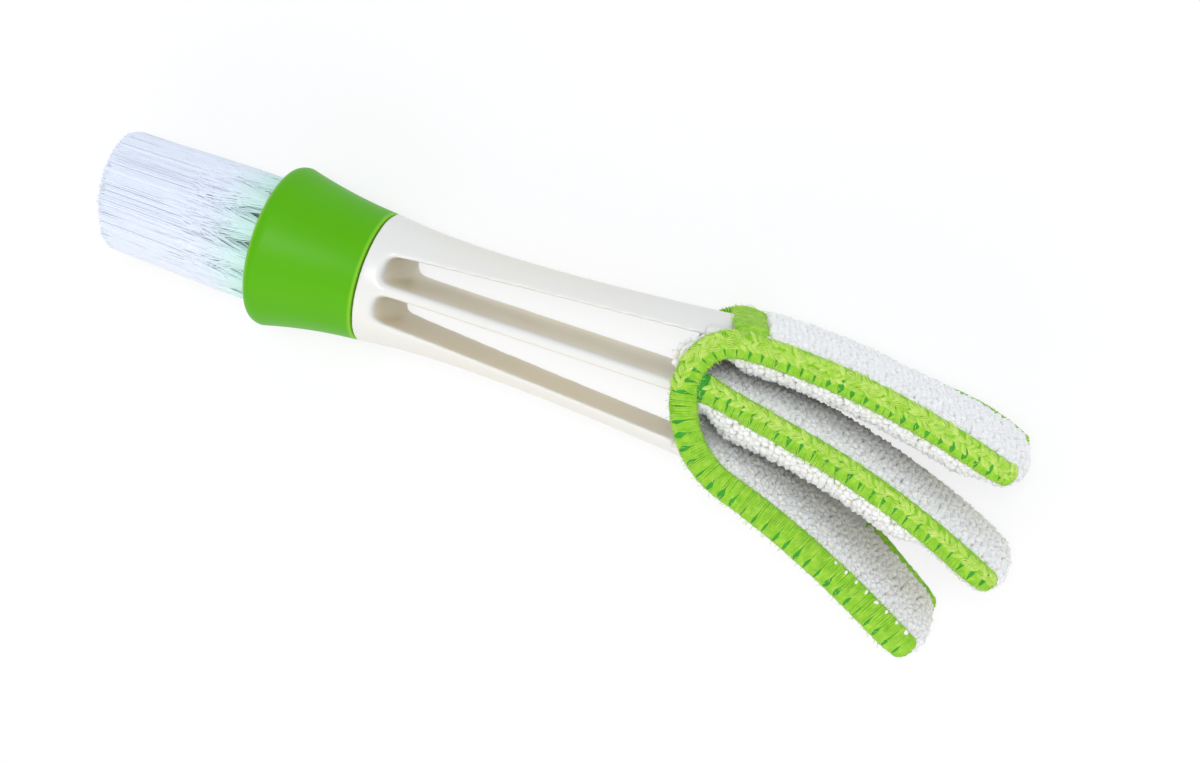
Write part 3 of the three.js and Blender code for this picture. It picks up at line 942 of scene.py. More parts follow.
class VENTBRUSH_OT_bristles(Operator):
    """Sets rings of nylon tufts in the face of the block"""

    bl_idname = "ventbrush.bristles"
    bl_label = "Bristles"

    SEED = 11
    RINGS = {"core_bristles": (0, 1), "inner_bristles": (2, 2), "outer_bristles": (3, 3)}
    GOLDEN_ANGLE = math.pi * (3 - math.sqrt(5))
    STRAND_STEPS = 4
    COVER_STEPS = 6
    # Steps along a packed middle, and round a tuft's, a ring's and a slice of the block
    LENGTH_STEPS = 32
    HEART_STEPS = 20
    PACKING_STEPS = 96
    SLICE_STEPS = 64
    # How far a whole tuft leans, and how far a bristle bows, in strays of a bristle
    LEAN = 0.35
    BOW = 1 / 3
    # How far the tufts draw in, how much each widens, and the share of its length in which it does
    DRAW_IN = 0.18
    FAN = 0.7
    FAN_REACH = 0.6
    # How far along a tuft its packed middle goes, its share of the tuft's radius, and the steepness
    # with which its end is rounded
    HEART_REACH = 0.993
    HEART_SHARE = 0.85
    HEART_ROUND = 30
    # A bristle nearer to its tuft's middle than this share of the radius shows only at its end
    HIDDEN_SHARE = 0.93
    SHOWS_FROM = 0.95
    # Where tufts have fanned out enough to close up, and from how deep to how far out, in radii of
    # a tuft, the bristles then fill the grooves between them
    CLOSES_FROM = 0.22
    CLOSES_BY = 0.52
    GROOVE_DEPTH = 0.2
    CLOSED_SHARE = 1.1
    # The bristles that cover the brush: how far round their tuft they start, in radians, how far
    # they fan out, in tufts, how far they wander from that, where they lie evenly, and how deep
    COVER_ARC = 1.3
    COVER_FAN = 1.1
    COVER_WANDER = 0.7
    COVER_SETTLES = 0.55
    COVER_DEPTH = (0.9, 1.02)

    def execute(self, context):
        brush = context.scene.vent_brush.brush
        nylon = nylon_filament(brush)
        green = bpy.data.materials["green_moulded_polypropylene"]
        rng = random.Random(self.SEED)
        for node, (first, last) in self.RINGS.items():
            routes = []
            hearts = []
            for ring in range(first, last + 1):
                for tuft in self.tufts(ring):
                    lean = scattered(rng, self.LEAN * brush.stray)
                    hearts.append(self.heart(brush, tuft, lean))
                    routes += self.tuft_routes(brush, tuft, lean, rng)
                    if ring == TUFT_RINGS:
                        routes += self.cover_routes(brush, tuft, rng)
            mesh = gathered(
                strands(routes, brush.strand_diameter),
                gathered(*hearts),
                self.packing(brush, last),
                to_mesh(spun(self.slice_profile(first, last), self.SLICE_STEPS), SHARP_EDGE),
            )
            name = node.replace("bristles", "tufts")
            piece = new_piece(name, mesh, "handle", "nylon", nylon, nylon, nylon, green)
            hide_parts(node)
        return {"FINISHED"}

    @staticmethod
    def tufts(ring):
        """Where the tufts of a ring stand, from the axis."""
        count = max(1, ring * TUFTS_PER_RING_STEP)
        angles = [math.tau * (i + ring / 2) / count for i in range(count)]
        return [outwards(angle) * ring * TUFT_RING_STEP for angle in angles]

    def spot(self, brush, tuft, foot, t):
        """Where a bristle is, from the axis: its tuft draws in while it fans out."""
        draw = self.DRAW_IN * math.sin(t * math.pi / 2)
        fan = self.FAN * math.sin(min(1, t / self.FAN_REACH) * math.pi / 2)
        return tuft * (1 - draw) + foot * (1 + fan) + Vector((0, brush.sway * t, 0))

    @staticmethod
    def tip_x(brush, spot):
        """Where bristles are cut: crowned, and slanting across the row."""
        outermost = TUFT_RINGS * TUFT_RING_STEP + brush.tuft_radius
        crown = brush.crown * (spot.length / outermost) ** 2
        return -COLLAR_LENGTH - brush.reach + crown - brush.slant * spot.y / outermost

    @staticmethod
    def placed(spot, tip_x, t):
        """A spot from the axis, put at a share of the way from the block's face to the cut end."""
        x = FACE_X + (tip_x - FACE_X) * t
        return Vector((SEAM_X + x, AXIS.y + spot.y, AXIS.z + spot.z))

    def rounded(self, u):
        """How full a packed middle is at a share of its length."""
        return min(1, self.HEART_ROUND * (1 - u)) ** 0.5

    def heart(self, brush, tuft, lean):
        """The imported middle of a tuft, which the outer bristles stand round."""
        tip_x = self.tip_x(brush, tuft)
        radius = self.HEART_SHARE * brush.tuft_radius

        def place(u, v):
            t = u * self.HEART_REACH
            foot = outwards(math.tau * v) * radius * self.rounded(u)
            return self.placed(self.spot(brush, tuft, foot, t) + lean * t ** 2, tip_x, t)

        return to_mesh(closed(shaped_grid(self.LENGTH_STEPS, self.HEART_STEPS, place)))

    def packing(self, brush, ring):
        """The bristles between a ring's tufts, which close up as the tufts fan out."""

        def place(u, v):
            t = self.CLOSES_FROM + (self.HEART_REACH - self.CLOSES_FROM) * u
            closing = eased((t - self.CLOSES_FROM) / (self.CLOSES_BY - self.CLOSES_FROM))
            out = outwards(math.tau * v) * self.rounded(u)
            tuft = out * ring * TUFT_RING_STEP
            foot = out * brush.tuft_radius * (closing * self.CLOSED_SHARE - self.GROOVE_DEPTH)
            return self.placed(self.spot(brush, tuft, foot, t), self.tip_x(brush, tuft + foot), t)

        bm = shaped_grid(self.LENGTH_STEPS, self.PACKING_STEPS, place)
        return to_mesh(closed(bm, fill=True))

    def tuft_routes(self, brush, tuft, lean, rng):
        """Runs of points from the block's face to the cut ends, which fan out and wander."""
        routes = []
        for i in range(brush.strands_per_tuft):
            out = brush.tuft_radius * math.sqrt((i + 0.5) / brush.strands_per_tuft)
            foot = outwards(i * self.GOLDEN_ANGLE) * out
            tip_x = self.tip_x(brush, tuft + foot) + rng.uniform(-1, 1) * brush.unevenness
            stray = scattered(rng, brush.stray) + lean
            bow = scattered(rng, brush.stray * self.BOW)
            hidden = out < brush.tuft_radius * self.HIDDEN_SHARE
            points = []
            for t in spread(self.SHOWS_FROM, 1, 1) if hidden else spread(0, 1, self.STRAND_STEPS):
                wander = stray * t ** 2 + bow * math.sin(math.pi * t)
                points.append(self.placed(self.spot(brush, tuft, foot, t) + wander, tip_x, t))
            routes.append(points)
        return routes

    def cover_routes(self, brush, tuft, rng):
        """Runs of points from a tuft's outer side, which fan out to lie evenly round the brush."""
        heading = math.atan2(tuft.z, tuft.y)
        half_pitch = math.pi / (TUFT_RINGS * TUFTS_PER_RING_STEP)
        routes = []
        for _ in range(brush.cover_strands):
            across = rng.uniform(-1, 1)
            foot = outwards(heading + across * self.COVER_ARC) * brush.tuft_radius
            fan = across * self.COVER_FAN + rng.gauss(0, self.COVER_WANDER)
            out = outwards(heading + fan * half_pitch)
            ring = out * tuft.length
            skin = out * brush.tuft_radius * rng.uniform(*self.COVER_DEPTH)
            tip_x = self.tip_x(brush, ring + skin) + rng.uniform(-1, 1) * brush.unevenness
            points = []
            for t in spread(0, 1, self.COVER_STEPS):
                even = self.spot(brush, ring, skin, t)
                spot = self.spot(brush, tuft, foot, t).lerp(even, eased(t / self.COVER_SETTLES))
                points.append(self.placed(spot, tip_x, t))
            routes.append(points)
        return routes

    @staticmethod
    def slice_profile(first, last):
        """The section of the block's slice that carries a node's rings."""
        gap = CLEARANCE / 2
        inner = gap if first == 0 else (first - 0.5) * TUFT_RING_STEP + gap
        outer = (last + 0.5) * TUFT_RING_STEP - gap
        if last == TUFT_RINGS:
            outer = COLLAR_MOUTH_RADIUS - CLEARANCE
        back = FACE_X + BLOCK_SLICE
        return [(FACE_X, inner), (FACE_X, outer), (back, outer), (back, inner)]


class VENTBRUSH_OT_glove(Operator):
    """Folds the strip of microfibre round the blades and covers it with pile"""

    bl_idname = "ventbrush.glove"
    bl_label = "Glove cloth"

    SEED = 23
    SECTIONS = ("top_finger", "upper_web", "middle_finger", "lower_web", "bottom_finger")
    CLOTH_ROWS = 32
    CLOTH_STEP = 0.8 * MM
    # How far the pile of a web stops short of the sewn edge
    WEB_INSET = 0.4 * MM
    # The backing's share of the way from the painted shade to the white
    BACKING_PALENESS = 0.8
    # Painted shade: how much less white the pile is at the far side between the fingers
    FAR_SHADE = 0.5
    # Clumps crowd towards the strip's edges, where the cloth is drawn in steeply
    EDGE_CROWDING = 1.35
    # How far a clump wanders from its place, and rows are set off against each other, in columns
    WANDER = 0.3
    STAGGER = 0.25
    # How far a clump leans and turns
    LEAN = 0.22
    TURN = 0.35
    # Ranges of a clump's height, and of its length and width in steps and rows
    HEIGHTS = (0.8, 1.1)
    LENGTHS = (1.2, 1.7)
    WIDTHS = (1.1, 1.6)
    # A clump's whole height and the rise of its middle, in heights that show
    WHOLE_HEIGHT = 1.5
    MIDDLE_RISE = 0.35

    def execute(self, context):
        glove = context.scene.vent_brush.glove
        hem_width = context.scene.vent_brush.edging.hem_width
        fold = Fold(glove)
        pile = microfibre_pile(glove)
        strip = fold.route.length
        # What the hems cover of the strip's ends, at the middle of its width
        covered = HEM_COVER - HEM_LENGTH / 2 - HEM_SHIFT + hem_width / 2 + CLEARANCE
        bm = shaped_grid(
            round(strip / self.CLOTH_STEP), self.CLOTH_ROWS,
            lambda u, v: fold.at(u * strip, (v - 0.5) * glove.cloth_width),
        )
        bmesh.ops.recalc_face_normals(bm, faces=bm.faces)
        backing = to_mesh(bm)
        mark(backing, "paleness", [self.BACKING_PALENESS] * len(backing.vertices))
        cloth = new_piece("folded_cloth", backing, "glove", "microfibre", pile)
        wall = cloth.modifiers.new("backing", "SOLIDIFY")
        wall.thickness = glove.backing
        wall.offset = 0
        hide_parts("glove_cloth")
        rng = random.Random(self.SEED)
        starts = [0] + fold.ends[:-1]
        for name, start, end in zip(self.SECTIONS, starts, fold.ends):
            is_web = "web" in name
            width = glove.cloth_width - (2 * self.WEB_INSET if is_web else 0)
            places = []
            for side in (1, -1) if is_web else (1,):
                places += self.places(fold, glove, start, end, covered, width, side, rng)
            mesh = pile_clumps(places)
            new_piece(f"{name}_pile", mesh, "glove", "microfibre", pile)
        return {"FINISHED"}

    def places(self, fold, glove, start, end, covered, width, side, rng):
        """Where each clump stands, how it leans and how white its painted shade leaves it, in rows
        across the strip.
        """
        places = []
        rows = max(1, round((end - start) / glove.pile_step))
        columns = round(width * self.EDGE_CROWDING / glove.pile_row)
        for row in range(rows):
            for column in range(columns):
                along, aside = (rng.uniform(-self.WANDER, self.WANDER) for _ in range(2))
                stagger = self.STAGGER * (-1) ** row
                share = 2 * (column + 0.5 + stagger + aside) / columns - 1
                crowded = 1 - max(0, 1 - abs(share)) ** self.EDGE_CROWDING
                across = math.copysign(crowded, share) * width / 2
                hem = covered + HEM_TWIST * 2 * across / glove.cloth_width
                first = start + (hem if start == 0 else 0)
                last = end - (hem if end == fold.route.length else 0)
                distance = first + (row + 0.5 + along) * (last - first) / rows
                normal = fold.normal(distance, across) * side
                lean = Vector([rng.gauss(0, self.LEAN) for _ in range(3)])
                tilt = (normal + lean).to_track_quat("Z", "Y").to_matrix().to_4x4()
                high = glove.pile_height * rng.uniform(*self.HEIGHTS)
                stretch = Matrix.Diagonal((
                    glove.pile_step * rng.uniform(*self.LENGTHS),
                    glove.pile_row * rng.uniform(*self.WIDTHS),
                    high * self.WHOLE_HEIGHT,
                    1,
                ))
                turn = Matrix.Rotation(rng.gauss(0, self.TURN), 4, "Z")
                rise = glove.backing / 2 + high * self.MIDDLE_RISE
                place = Matrix.Translation(fold.at(distance, across) + normal * rise)
                # Painted shade: clumps between the fingers are less white towards the far side
                between = fold.tips[0] < distance < fold.tips[-1]
                deep = 0.5 - across / glove.cloth_width if between else 0
                places.append((place @ tilt @ turn @ stretch, 1 - self.FAR_SHADE * deep))
        return places


class Band:
    """A sewn edge along a route: which way is out of the cloth, and how its stitches lie.

    The row of holes lies at a share of the half width, towards the side of the loops, at the start
    and at the end, and an edge without holes has no loops. A bare length at the start is wound in
    the dark green of painted shade, a swell makes the start fuller, and a spread makes the end
    wider.
    """

    # The length in which an end is rounded, and that in which a swell dies away
    END_ROUND = 1.8 * MM
    SWELL_LENGTH = 9 * MM
    # The stretch in which the row of holes crosses over, as shares of the length
    CROSS_FROM = 0.45
    CROSS_SHARE = 0.14

    def __init__(
        self, points, up, width, loop_side, holes=None, bare=0, swell=0, spread=0,
    ):
        self.route = Route(points)
        self.length = self.route.length
        self.up = up
        self.width = width
        self.loop_side = loop_side
        self.holes = holes
        self.bare = bare
        self.swell = swell
        self.spread = spread

    def section(self, distance, beside, above):
        """A point of the edge's section at a distance along it."""
        side = self.route.ahead(distance).cross(self.up) * self.loop_side
        wide = 1 + self.spread * distance / self.length
        return self.route.at(distance) + side * beside * wide + self.up * above

    def hole(self, distance):
        """How far across the edge its holes lie."""
        start, end = self.holes
        crossed = eased((distance / self.length - self.CROSS_FROM) / self.CROSS_SHARE)
        return start + (end - start) * crossed

    def fullness(self, distance):
        """How full the section is: round at the two ends, and swollen at the start."""
        near_end = min(distance, self.length - distance) / self.END_ROUND
        swollen = 1 + self.swell * (1 - eased(distance / self.SWELL_LENGTH))
        return math.sqrt(max(0, 1 - max(0, 1 - near_end) ** 2)) * swollen

    def half_sizes(self, edging):
        """Half the width and the depth inside the thread that is wound round them."""
        return (self.width - edging.thread) / 2, (edging.depth - edging.thread) / 2


class VENTBRUSH_OT_edging(Operator):
    """Sews the thick green edge: a core, wound threads, a chain of loops and loose fibres"""

    bl_idname = "ventbrush.edging"
    bl_label = "Edging"

    # How far an edge goes past a finger's tip
    TIP_OVERRUN = 3 * MM
    # From the end of the edge to where the cloth's rounded corner would end
    CORNER_SHORT = 1.9 * MM
    # How much closer to the cloth the far edges lie
    FAR_TUCK = 0.45 * MM
    # How deep the middle edge starts under the rim, and the share of its run in which it comes up
    DIVE_DEPTH = 0.9 * MM
    DIVE_SHARE = 0.16
    MIDDLE_SWELL = 0.3
    RIM_SPREAD = 0.2
    # Where the holes lie at an edge's start and end, as shares of its half width
    RIM_HOLES = (-0.33, 0.62)
    MIDDLE_HOLES = (-0.02, -0.1)
    ROUTE_STEPS = 60
    MIDDLE_STEPS = 80
    # A hem: how far it goes past the cloth's near edge, and how its ends curl round the prong
    TOP_HEM_OVERRUN = 1.2 * MM
    BOTTOM_HEM_OVERRUN = -1 * MM
    HEM_STEPS = 40
    HEM_LIFT = 1 * MM
    HEM_CURL = 2.2 * MM
    HEM_CURL_LENGTH = 4 * MM
    HEM_CURL_AT_EDGE = 0.7
    # The core's facets
    CORE_STEP = 1 * MM
    CORE_SIDES = 12
    # The wound thread: how far turns rise and slip, how far stitches are drawn to their holes, and
    # how sharply
    WINDING_SEED = 5
    POINTS_PER_TURN = 12
    RISE = 0.14 * MM
    SLIP = 0.07 * MM
    PULLS = (0.1, 0.6)
    PULL_SHARPNESS = 8
    # Rows of loops, as shares of the half width: from the holes to the first, and on to the next
    CHAIN_SEED = 7
    FIRST_ROW = 0.3
    ROW_STEP = 0.42
    LAST_ROW = 0.9
    # There are no loops where the holes lie further across than this
    LOOPS_END = 0.1
    # Steps along a loop's fibre, and its diameter in those of the wound thread
    LOOP_POINTS = 6
    LOOP_FIBRE = 0.9
    # A loop's place in its pitch, how far it strays along and across, its slant and how that varies
    LOOP_START = 0.25
    LOOP_WANDER = 0.2
    ROW_WANDER = 0.1
    LOOP_SLANT = 0.2
    SLANT_WANDER = 0.15
    # Ranges of a loop's plumpness, and of half its length in pitches
    PLUMPNESS = (0.7, 1.2)
    LOOP_REACHES = (0.55, 0.8)
    # How far a loop's middle stands off the winding, in heights of a loop
    LOOP_RISE = 0.15
    # Loose fibres: their number and size, and ranges of angle in half turns, reach and curl
    FUZZ_SEED = 13
    FUZZ_PER_STITCH = 14
    FUZZ_DIAMETER = 0.09 * MM
    FUZZ_STEPS = 3
    FUZZ_ANGLES = (-0.1, 1.1)
    FUZZ_REACHES = (0.5, 1.3)
    FUZZ_CURL = 0.6
    # Holes at the bottom finger's end that pile pokes through, counted from the last
    POKED_SEED = 17
    POKED_HOLES = range(2, 10)
    POKED_SIZE = 0.9 * MM
    POKED_SIZES = (0.5, 1.4)
    POKED_PLACE = -0.88

    def execute(self, context):
        scene = context.scene.vent_brush
        edging = scene.edging
        deep = overlock_yarn("painted_shade_green_yarn", edging.shade_green, edging.shade_fibre_green)
        lime = overlock_yarn("lime_wound_yarn", edging.lime, edging.light_lime)
        pale = overlock_yarn("painted_highlight_chain_yarn", edging.loop_highlight_lime, edging.pale_highlight_lime)
        bands = self.bands(scene.glove, edging)
        for node, band in bands.items():
            # The core and the bare start take the painted shade green
            layers = [(self.core(band, edging), deep)]
            if band.bare:
                layers.append((self.winding(band, edging, 0, band.bare), deep))
            layers.append((self.winding(band, edging, band.bare, band.length), lime))
            if band.holes is not None:
                # The chain's loops take the painted highlight yarn
                layers.append((self.chain(band, edging), pale))
            if band.up.z >= 0:
                layers.append((self.fuzz(band, edging), pale))
            meshes, finishes = zip(*layers)
            name = node.replace("edging", "yarn")
            piece = new_piece(name, gathered(*meshes), "glove", "edging_yarn", *finishes)
            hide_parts(node)
        tufts = pile_clumps(self.poked(bands["near_rim_edging"], edging))
        white = bpy.data.materials["white_microfibre_pile"]
        new_piece("poked_pile", tufts, "glove", "microfibre", white)
        return {"FINISHED"}

    def bands(self, glove, edging):
        """The sewn edge of each node, by the node's name."""
        found = {}
        edge = glove.cloth_width / 2 + CLEARANCE + edging.depth / 2
        far_edge = edge - self.FAR_TUCK
        for name, up, lift, line, top_join, top_pull in (
            ("near", UP, edge, Finger.seam, RIM_TOP_JOIN, RIM_TOP_PULL),
            ("far", -UP, far_edge, Finger.far_seam, FAR_RIM_TOP_JOIN, FAR_RIM_TOP_PULL),
        ):
            rim = self.on_edge(self.rim_route(line, top_join, top_pull), up, lift, both_tips=True)
            found[f"{name}_rim_edging"] = Band(
                rim, up, edging.width, 1, self.RIM_HOLES, spread=self.RIM_SPREAD,
            )
            middle = self.on_edge(self.middle_route(), up, lift, both_tips=False)
            sunk = []
            for i, point in enumerate(middle):
                dive = 1 - eased(i / (len(middle) * self.DIVE_SHARE))
                sunk.append(point - up * self.DIVE_DEPTH * dive)
            found[f"{name}_middle_edging"] = Band(
                sunk, up, edging.width, -1, self.MIDDLE_HOLES,
                bare=MIDDLE_EDGING_BARE, swell=self.MIDDLE_SWELL,
            )
        for name, finger, side, start, overrun in (
            ("top", TOP, 1, TOP_HEM_START, self.TOP_HEM_OVERRUN),
            ("bottom", BOTTOM, -1, BOTTOM_HEM_START, self.BOTTOM_HEM_OVERRUN),
        ):
            found[f"{name}_hem_edging"] = self.hem(finger, side, start, overrun, glove, edging)
        return found

    def on_edge(self, points, up, lift, both_tips):
        """A route on the cloth's edge, which is rounded off at the fingers' tips."""
        marks = Route(points).marks
        lifted = []
        for point, distance in zip(points, marks):
            off_tip = marks[-1] - distance
            if both_tips:
                off_tip = min(distance, off_tip)
            lifted.append(point + up * (lift - corner_drop(off_tip + self.CORNER_SHORT)))
        return lifted

    def past_tip(self, finger, line):
        """Where an edge ends, beyond a finger's tip."""
        return line(finger, 1) + finger.ahead(1) * self.TIP_OVERRUN

    def rim_route(self, line, top_join, top_pull):
        """From the top tip, round the webs in front of the middle prong, to the bottom tip."""
        steps = self.ROUTE_STEPS
        top = [self.past_tip(TOP, line)] + [line(TOP, t) for t in spread(1, top_join, steps)]
        bottom = [line(BOTTOM, t) for t in spread(RIM_BOTTOM_JOIN, 1, steps)]
        bottom.append(self.past_tip(BOTTOM, line))
        leave = top[-1] - TOP.ahead(top_join) * top_pull
        arrive = bottom[0] - BOTTOM.ahead(RIM_BOTTOM_JOIN) * RIM_BOTTOM_PULL
        webs = interpolate_bezier(top[-1], leave, arrive, bottom[0], steps)[1:-1]
        return top + webs + bottom

    def middle_route(self):
        """From under the rim, along the upper side of the middle finger's root, to its tip."""
        along = [MIDDLE.seam(t) for t in spread(MIDDLE_EDGING_DIVE, 1, self.MIDDLE_STEPS)]
        return along + [self.past_tip(MIDDLE, Finger.seam)]

    def hem(self, finger, side, start, overrun, glove, edging):
        """Across a prong, with its far end drawn back and both ends curled round the prong."""
        t = finger.share(start + HEM_LENGTH / 2)
        up = finger.left(t) * side
        lift = PRONG_THICKNESS / 2 + CLEARANCE + self.HEM_LIFT
        base = finger.at(t) + up * lift - finger.ahead(t) * HEM_SHIFT
        half = glove.cloth_width / 2
        twist = finger.ahead(t) * HEM_TWIST / half
        points = []
        for z in spread(-half, half + overrun, self.HEM_STEPS):
            curled = eased((abs(z) - half) / self.HEM_CURL_LENGTH + self.HEM_CURL_AT_EDGE)
            points.append(base + (UP + twist) * z - up * curled * self.HEM_CURL)
        return Band(points, up, edging.hem_width, -side)

    def core(self, band, edging):
        """The rolled edge of the cloth that the threads are wound round."""
        half_width, half_depth = band.half_sizes(edging)

        def place(u, v):
            distance = u * band.length
            angle = math.tau * v
            full = band.fullness(distance)
            beside, above = half_width * math.cos(angle), half_depth * math.sin(angle)
            return band.section(distance, beside * full, above * full)

        steps = round(band.length / self.CORE_STEP)
        return to_mesh(closed(shaped_grid(steps, self.CORE_SIDES, place)))

    def winding(self, band, edging, start, end):
        """One thread wound unevenly round a stretch of the core, drawn together at the holes."""
        half_width, half_depth = band.half_sizes(edging)
        rng = random.Random(self.WINDING_SEED)
        stitches = max(1, round((end - start) / edging.stitch))
        stitch_length = (end - start) / stitches
        turns = stitches * edging.turns
        rises = [rng.uniform(0, self.RISE) for _ in range(turns + 2)]
        slips = [rng.uniform(-self.SLIP, self.SLIP) for _ in range(turns + 2)]
        pulls = [rng.uniform(*self.PULLS) for _ in range(stitches)]
        points = []
        for i in range(turns * self.POINTS_PER_TURN + 1):
            whole, part = divmod(i / self.POINTS_PER_TURN, 1)
            turn = int(whole)
            angle = math.pi + math.tau * part
            distance = start + (turn + part) * stitch_length / edging.turns
            if band.holes is not None:
                stitch = min(turn // edging.turns, stitches - 1)
                middle = start + (stitch + 0.5) * stitch_length
                at_hole = max(0, math.cos(angle - math.acos(band.hole(middle))))
                pull = pulls[stitch] * at_hole ** self.PULL_SHARPNESS
                distance += (middle - distance) * pull
            distance += slips[turn] * (1 - part) + slips[turn + 1] * part
            full = band.fullness(distance)
            rise = rises[turn] * (1 - part) + rises[turn + 1] * part
            beside = (half_width + rise) * full * math.cos(angle)
            above = (half_depth + rise) * full * math.sin(angle)
            points.append(band.section(distance, beside, above))
        return strands([points], edging.thread)

    def chain(self, band, edging):
        """Rows of slanting loops, each a plump spindle of fibres, on one side of the holes."""
        rng = random.Random(self.CHAIN_SEED)
        covered = band.length - band.bare
        loops = round(covered / edging.loop_pitch)
        pitch = covered / loops
        rows = 1 + int((1 - min(band.holes) - self.FIRST_ROW) / self.ROW_STEP)
        angles = [math.tau * fibre / edging.loop_fibres for fibre in range(edging.loop_fibres)]
        routes = []
        for row in range(rows):
            for loop in range(loops):
                start = loop + self.LOOP_START + 0.5 * (row % 2)
                middle = start + rng.uniform(-self.LOOP_WANDER, self.LOOP_WANDER)
                middle = band.bare + middle * pitch
                place = band.hole(middle) + self.FIRST_ROW + row * self.ROW_STEP
                place += rng.uniform(-self.ROW_WANDER, self.ROW_WANDER)
                if band.hole(middle) > self.LOOPS_END or place > self.LAST_ROW:
                    continue
                lean = self.LOOP_SLANT * (-1) ** row
                lean += rng.uniform(-self.SLANT_WANDER, self.SLANT_WANDER)
                plump = rng.uniform(*self.PLUMPNESS)
                reach = pitch * rng.uniform(*self.LOOP_REACHES)
                for angle in angles:
                    points = []
                    for t in spread(-1, 1, self.LOOP_POINTS):
                        distance, across = middle + t * reach, place + lean * t
                        swell = plump * math.cos(t * math.pi / 2)
                        points.append(self.loop_point(band, edging, distance, across, angle, swell))
                    routes.append(points)
        return strands(routes, edging.thread * self.LOOP_FIBRE)

    def loop_point(self, band, edging, distance, across, angle, swell):
        """A point of a fibre, whose loop lies across the edge and whose angle is from its top."""
        half_width, half_depth = band.half_sizes(edging)
        full = band.fullness(distance)
        half_loop = (edging.loop_width - edging.thread) / 2
        beside = across * half_width - half_loop * swell * math.sin(angle)
        round_edge = math.sqrt(max(0, 1 - (beside / half_width) ** 2))
        half_height = (edging.loop_height - edging.thread) / 2
        rise = edging.loop_height * self.LOOP_RISE + half_height * math.cos(angle)
        above = half_depth * round_edge + swell * rise
        return band.section(distance, beside * full, above * full)

    def fuzz(self, band, edging):
        """Loose fibres that stand off the yarn and blur its outline."""
        half_width, half_depth = band.half_sizes(edging)
        rng = random.Random(self.FUZZ_SEED)
        routes = []
        for _ in range(round(band.length / edging.stitch * self.FUZZ_PER_STITCH)):
            distance = rng.uniform(0, band.length)
            angle = rng.uniform(*self.FUZZ_ANGLES) * math.pi
            reach = edging.fuzz * rng.uniform(*self.FUZZ_REACHES)
            drift = edging.fuzz * rng.uniform(-1, 1)
            curl = rng.uniform(-self.FUZZ_CURL, self.FUZZ_CURL)
            points = []
            for t in spread(0, 1, self.FUZZ_STEPS):
                here = distance + drift * t
                full = band.fullness(here)
                turned = angle + curl * t
                beside = (half_width * full + reach * t) * math.cos(turned)
                above = (half_depth * full + reach * t) * math.sin(turned)
                points.append(band.section(here, beside, above))
            routes.append(points)
        return strands(routes, self.FUZZ_DIAMETER)

    def poked(self, band, edging):
        """Where tufts of the cloth's pile poke through the edge's holes."""
        half_width, half_depth = band.half_sizes(edging)
        rng = random.Random(self.POKED_SEED)
        stitches = round(band.length / edging.stitch)
        places = []
        for back in self.POKED_HOLES:
            distance = band.length * (1 - (back - 0.5) / stitches)
            above = half_depth * math.sqrt(1 - self.POKED_PLACE ** 2)
            place = band.section(distance, self.POKED_PLACE * half_width, above)
            spin = Matrix.Rotation(rng.uniform(0, math.pi), 4, "Z")
            size = [self.POKED_SIZE * rng.uniform(*self.POKED_SIZES) for _ in range(3)]
            places.append((Matrix.Translation(place) @ spin @ Matrix.Diagonal((*size, 1)), 1))
        return places


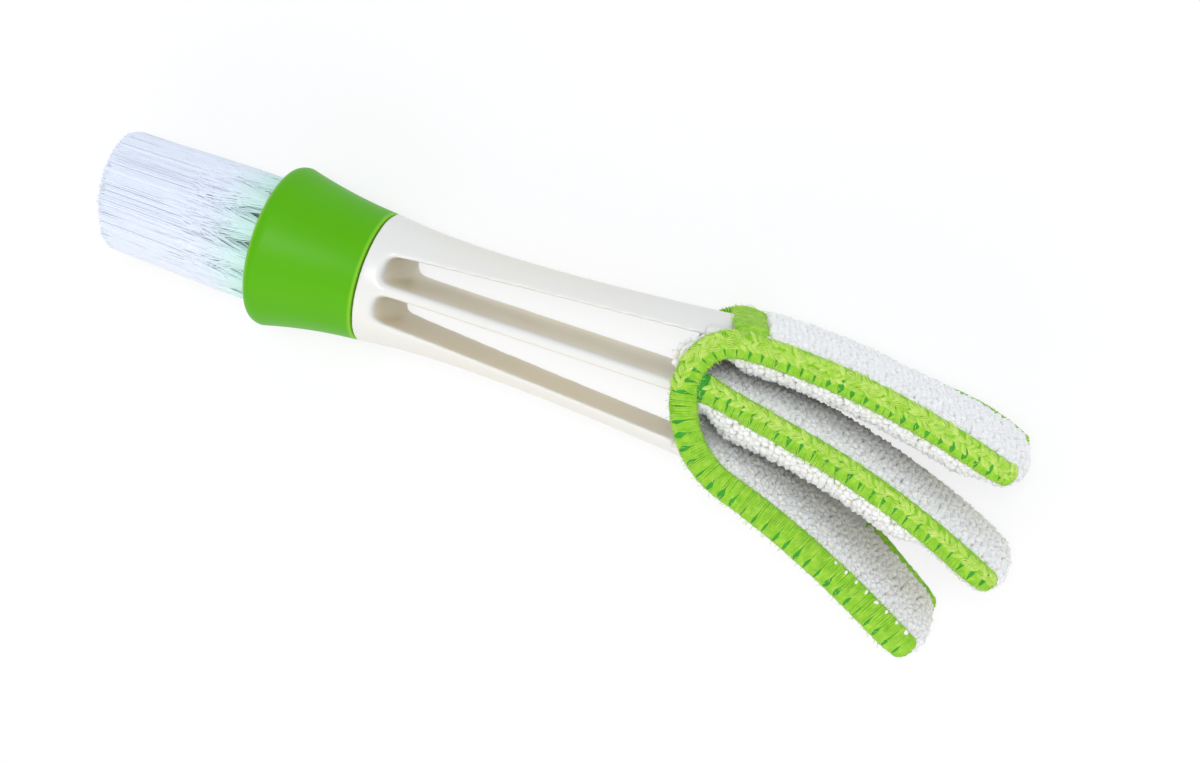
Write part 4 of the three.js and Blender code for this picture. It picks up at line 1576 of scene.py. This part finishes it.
class VENTBRUSH_OT_stage(Operator):
    """Makes the pale floor, the soft lamps, the sky and the camera"""

    bl_idname = "ventbrush.stage"
    bl_label = "Stage"

    # Half the floor's width in metres, and how much of its light to the camera is a glow
    FLOOR_HALF = 4
    FLOOR_GLOW = 0.75
    SKY_COLOUR = "#F6F8FF"
    SKY_STRENGTH = 0.64
    # Each lamp's name, its place and size in metres, its watts and its colour
    LAMPS = (
        ("key_lamp", (0.12, 0.21, 0.97), 0.28, 4.4, "#F6F9FF"),
        ("warm_lamp", (-0.1, -0.85, 0.5), 1, 3.2, "#FFF0D8"),
    )

    def execute(self, context):
        stage = context.scene.vent_brush.stage
        self.floor(stage)
        self.sky(context.scene)
        for lamp in self.LAMPS:
            self.lamp(*lamp)
        self.camera(context.scene, stage)
        context.scene.view_settings.view_transform = "Standard"
        return {"FINISHED"}

    def floor(self, stage):
        """A wide sheet of paper under the brush."""
        bm = bmesh.new()
        bmesh.ops.create_grid(bm, x_segments=1, y_segments=1, size=self.FLOOR_HALF)
        mesh = to_mesh(bm)
        mesh.materials.append(self.paper(stage))
        new_object("studio_floor", mesh)

    def paper(self, stage):
        """White paper, which to the camera glows as a white ground and still shows a shadow."""
        material, shader = new_material("white_paper_ground")
        put(material, shader, {
            "Base Color": (*stage.floor, 1), "Roughness": 0.9, "Specular IOR Level": 0.1,
        })
        path = add(material, "ShaderNodeLightPath", {})
        seen = path.outputs["Is Camera Ray"]
        for ray in ("Is Glossy Ray", "Is Transmission Ray"):
            either = add(material, "ShaderNodeMath", {
                0: seen, 1: path.outputs[ray],
            }, operation="MAXIMUM")
            seen = either.outputs[0]
        glow = add(material, "ShaderNodeEmission", {"Strength": 1})
        share = add(material, "ShaderNodeMath", {0: seen, 1: self.FLOOR_GLOW}, operation="MULTIPLY")
        mix = add(material, "ShaderNodeMixShader", {
            0: share.outputs[0], 1: shader.outputs[0], 2: glow.outputs[0],
        })
        output = material.node_tree.nodes["Material Output"]
        put(material, output, {"Surface": mix.outputs[0]})
        return material

    def sky(self, scene):
        """A plain pale sky, white where it is seen."""
        world = bpy.data.worlds.new("soft_sky")
        world.use_nodes = True
        scene.world = world
        light = world.node_tree.nodes["Background"]
        put(world, light, {"Color": (*linear(self.SKY_COLOUR), 1), "Strength": self.SKY_STRENGTH})
        seen = add(world, "ShaderNodeBackground", {"Color": (1, 1, 1, 1), "Strength": 1})
        path = add(world, "ShaderNodeLightPath", {})
        mix = add(world, "ShaderNodeMixShader", {
            0: path.outputs["Is Camera Ray"], 1: light.outputs[0], 2: seen.outputs[0],
        })
        output = world.node_tree.nodes["World Output"]
        put(world, output, {"Surface": mix.outputs[0]})

    @staticmethod
    def lamp(name, place, size, watts, code):
        """A square soft lamp that faces the middle of the brush."""
        data = bpy.data.lights.new(name, "AREA")
        data.size = size
        data.energy = watts
        data.color = linear(code)
        lamp = new_object(name, data)
        lamp.location = place
        lamp.rotation_euler = (-Vector(place)).to_track_quat("-Z", "Y").to_euler()

    @staticmethod
    def camera(scene, stage):
        """The camera that the scene is seen through."""
        data = bpy.data.cameras.new("camera")
        data.lens = stage.lens
        data.sensor_width = stage.sensor
        camera = new_object("camera", data)
        camera.location = stage.camera_place
        camera.rotation_euler = stage.camera_turn
        scene.camera = camera


# Panel and start

class VENTBRUSH_PT_panel(Panel):
    """Lists the steps that dress the brush"""

    bl_idname = "VENTBRUSH_PT_panel"
    bl_label = "Vent brush"
    bl_space_type = "VIEW_3D"
    bl_region_type = "UI"
    bl_category = "Vent brush"

    def draw(self, context):
        """A button for each step"""
        for step in STEPS:
            self.layout.operator(step.bl_idname)


STEPS = (
    VENTBRUSH_OT_stage,
    VENTBRUSH_OT_handle,
    VENTBRUSH_OT_collar,
    VENTBRUSH_OT_bristles,
    VENTBRUSH_OT_glove,
    VENTBRUSH_OT_edging,
)
SETTINGS = (
    HandleSettings,
    CollarSettings,
    BrushSettings,
    GloveSettings,
    EdgingSettings,
    StageSettings,
    VentBrushSettings,
)
CLASSES = SETTINGS + STEPS + (VENTBRUSH_PT_panel,)


def register():
    """Makes the classes and the scene's settings known to Blender."""
    for each in CLASSES:
        bpy.utils.register_class(each)
    bpy.types.Scene.vent_brush = PointerProperty(type=VentBrushSettings)


def unregister():
    """Takes them away again."""
    del bpy.types.Scene.vent_brush
    for each in reversed(CLASSES):
        bpy.utils.unregister_class(each)


def main():
    """Dresses the brush step by step."""
    register()
    bpy.ops.ventbrush.stage()
    bpy.ops.ventbrush.handle()
    bpy.ops.ventbrush.collar()
    bpy.ops.ventbrush.bristles()
    bpy.ops.ventbrush.glove()
    bpy.ops.ventbrush.edging()


if __name__ == "__main__":
    main()
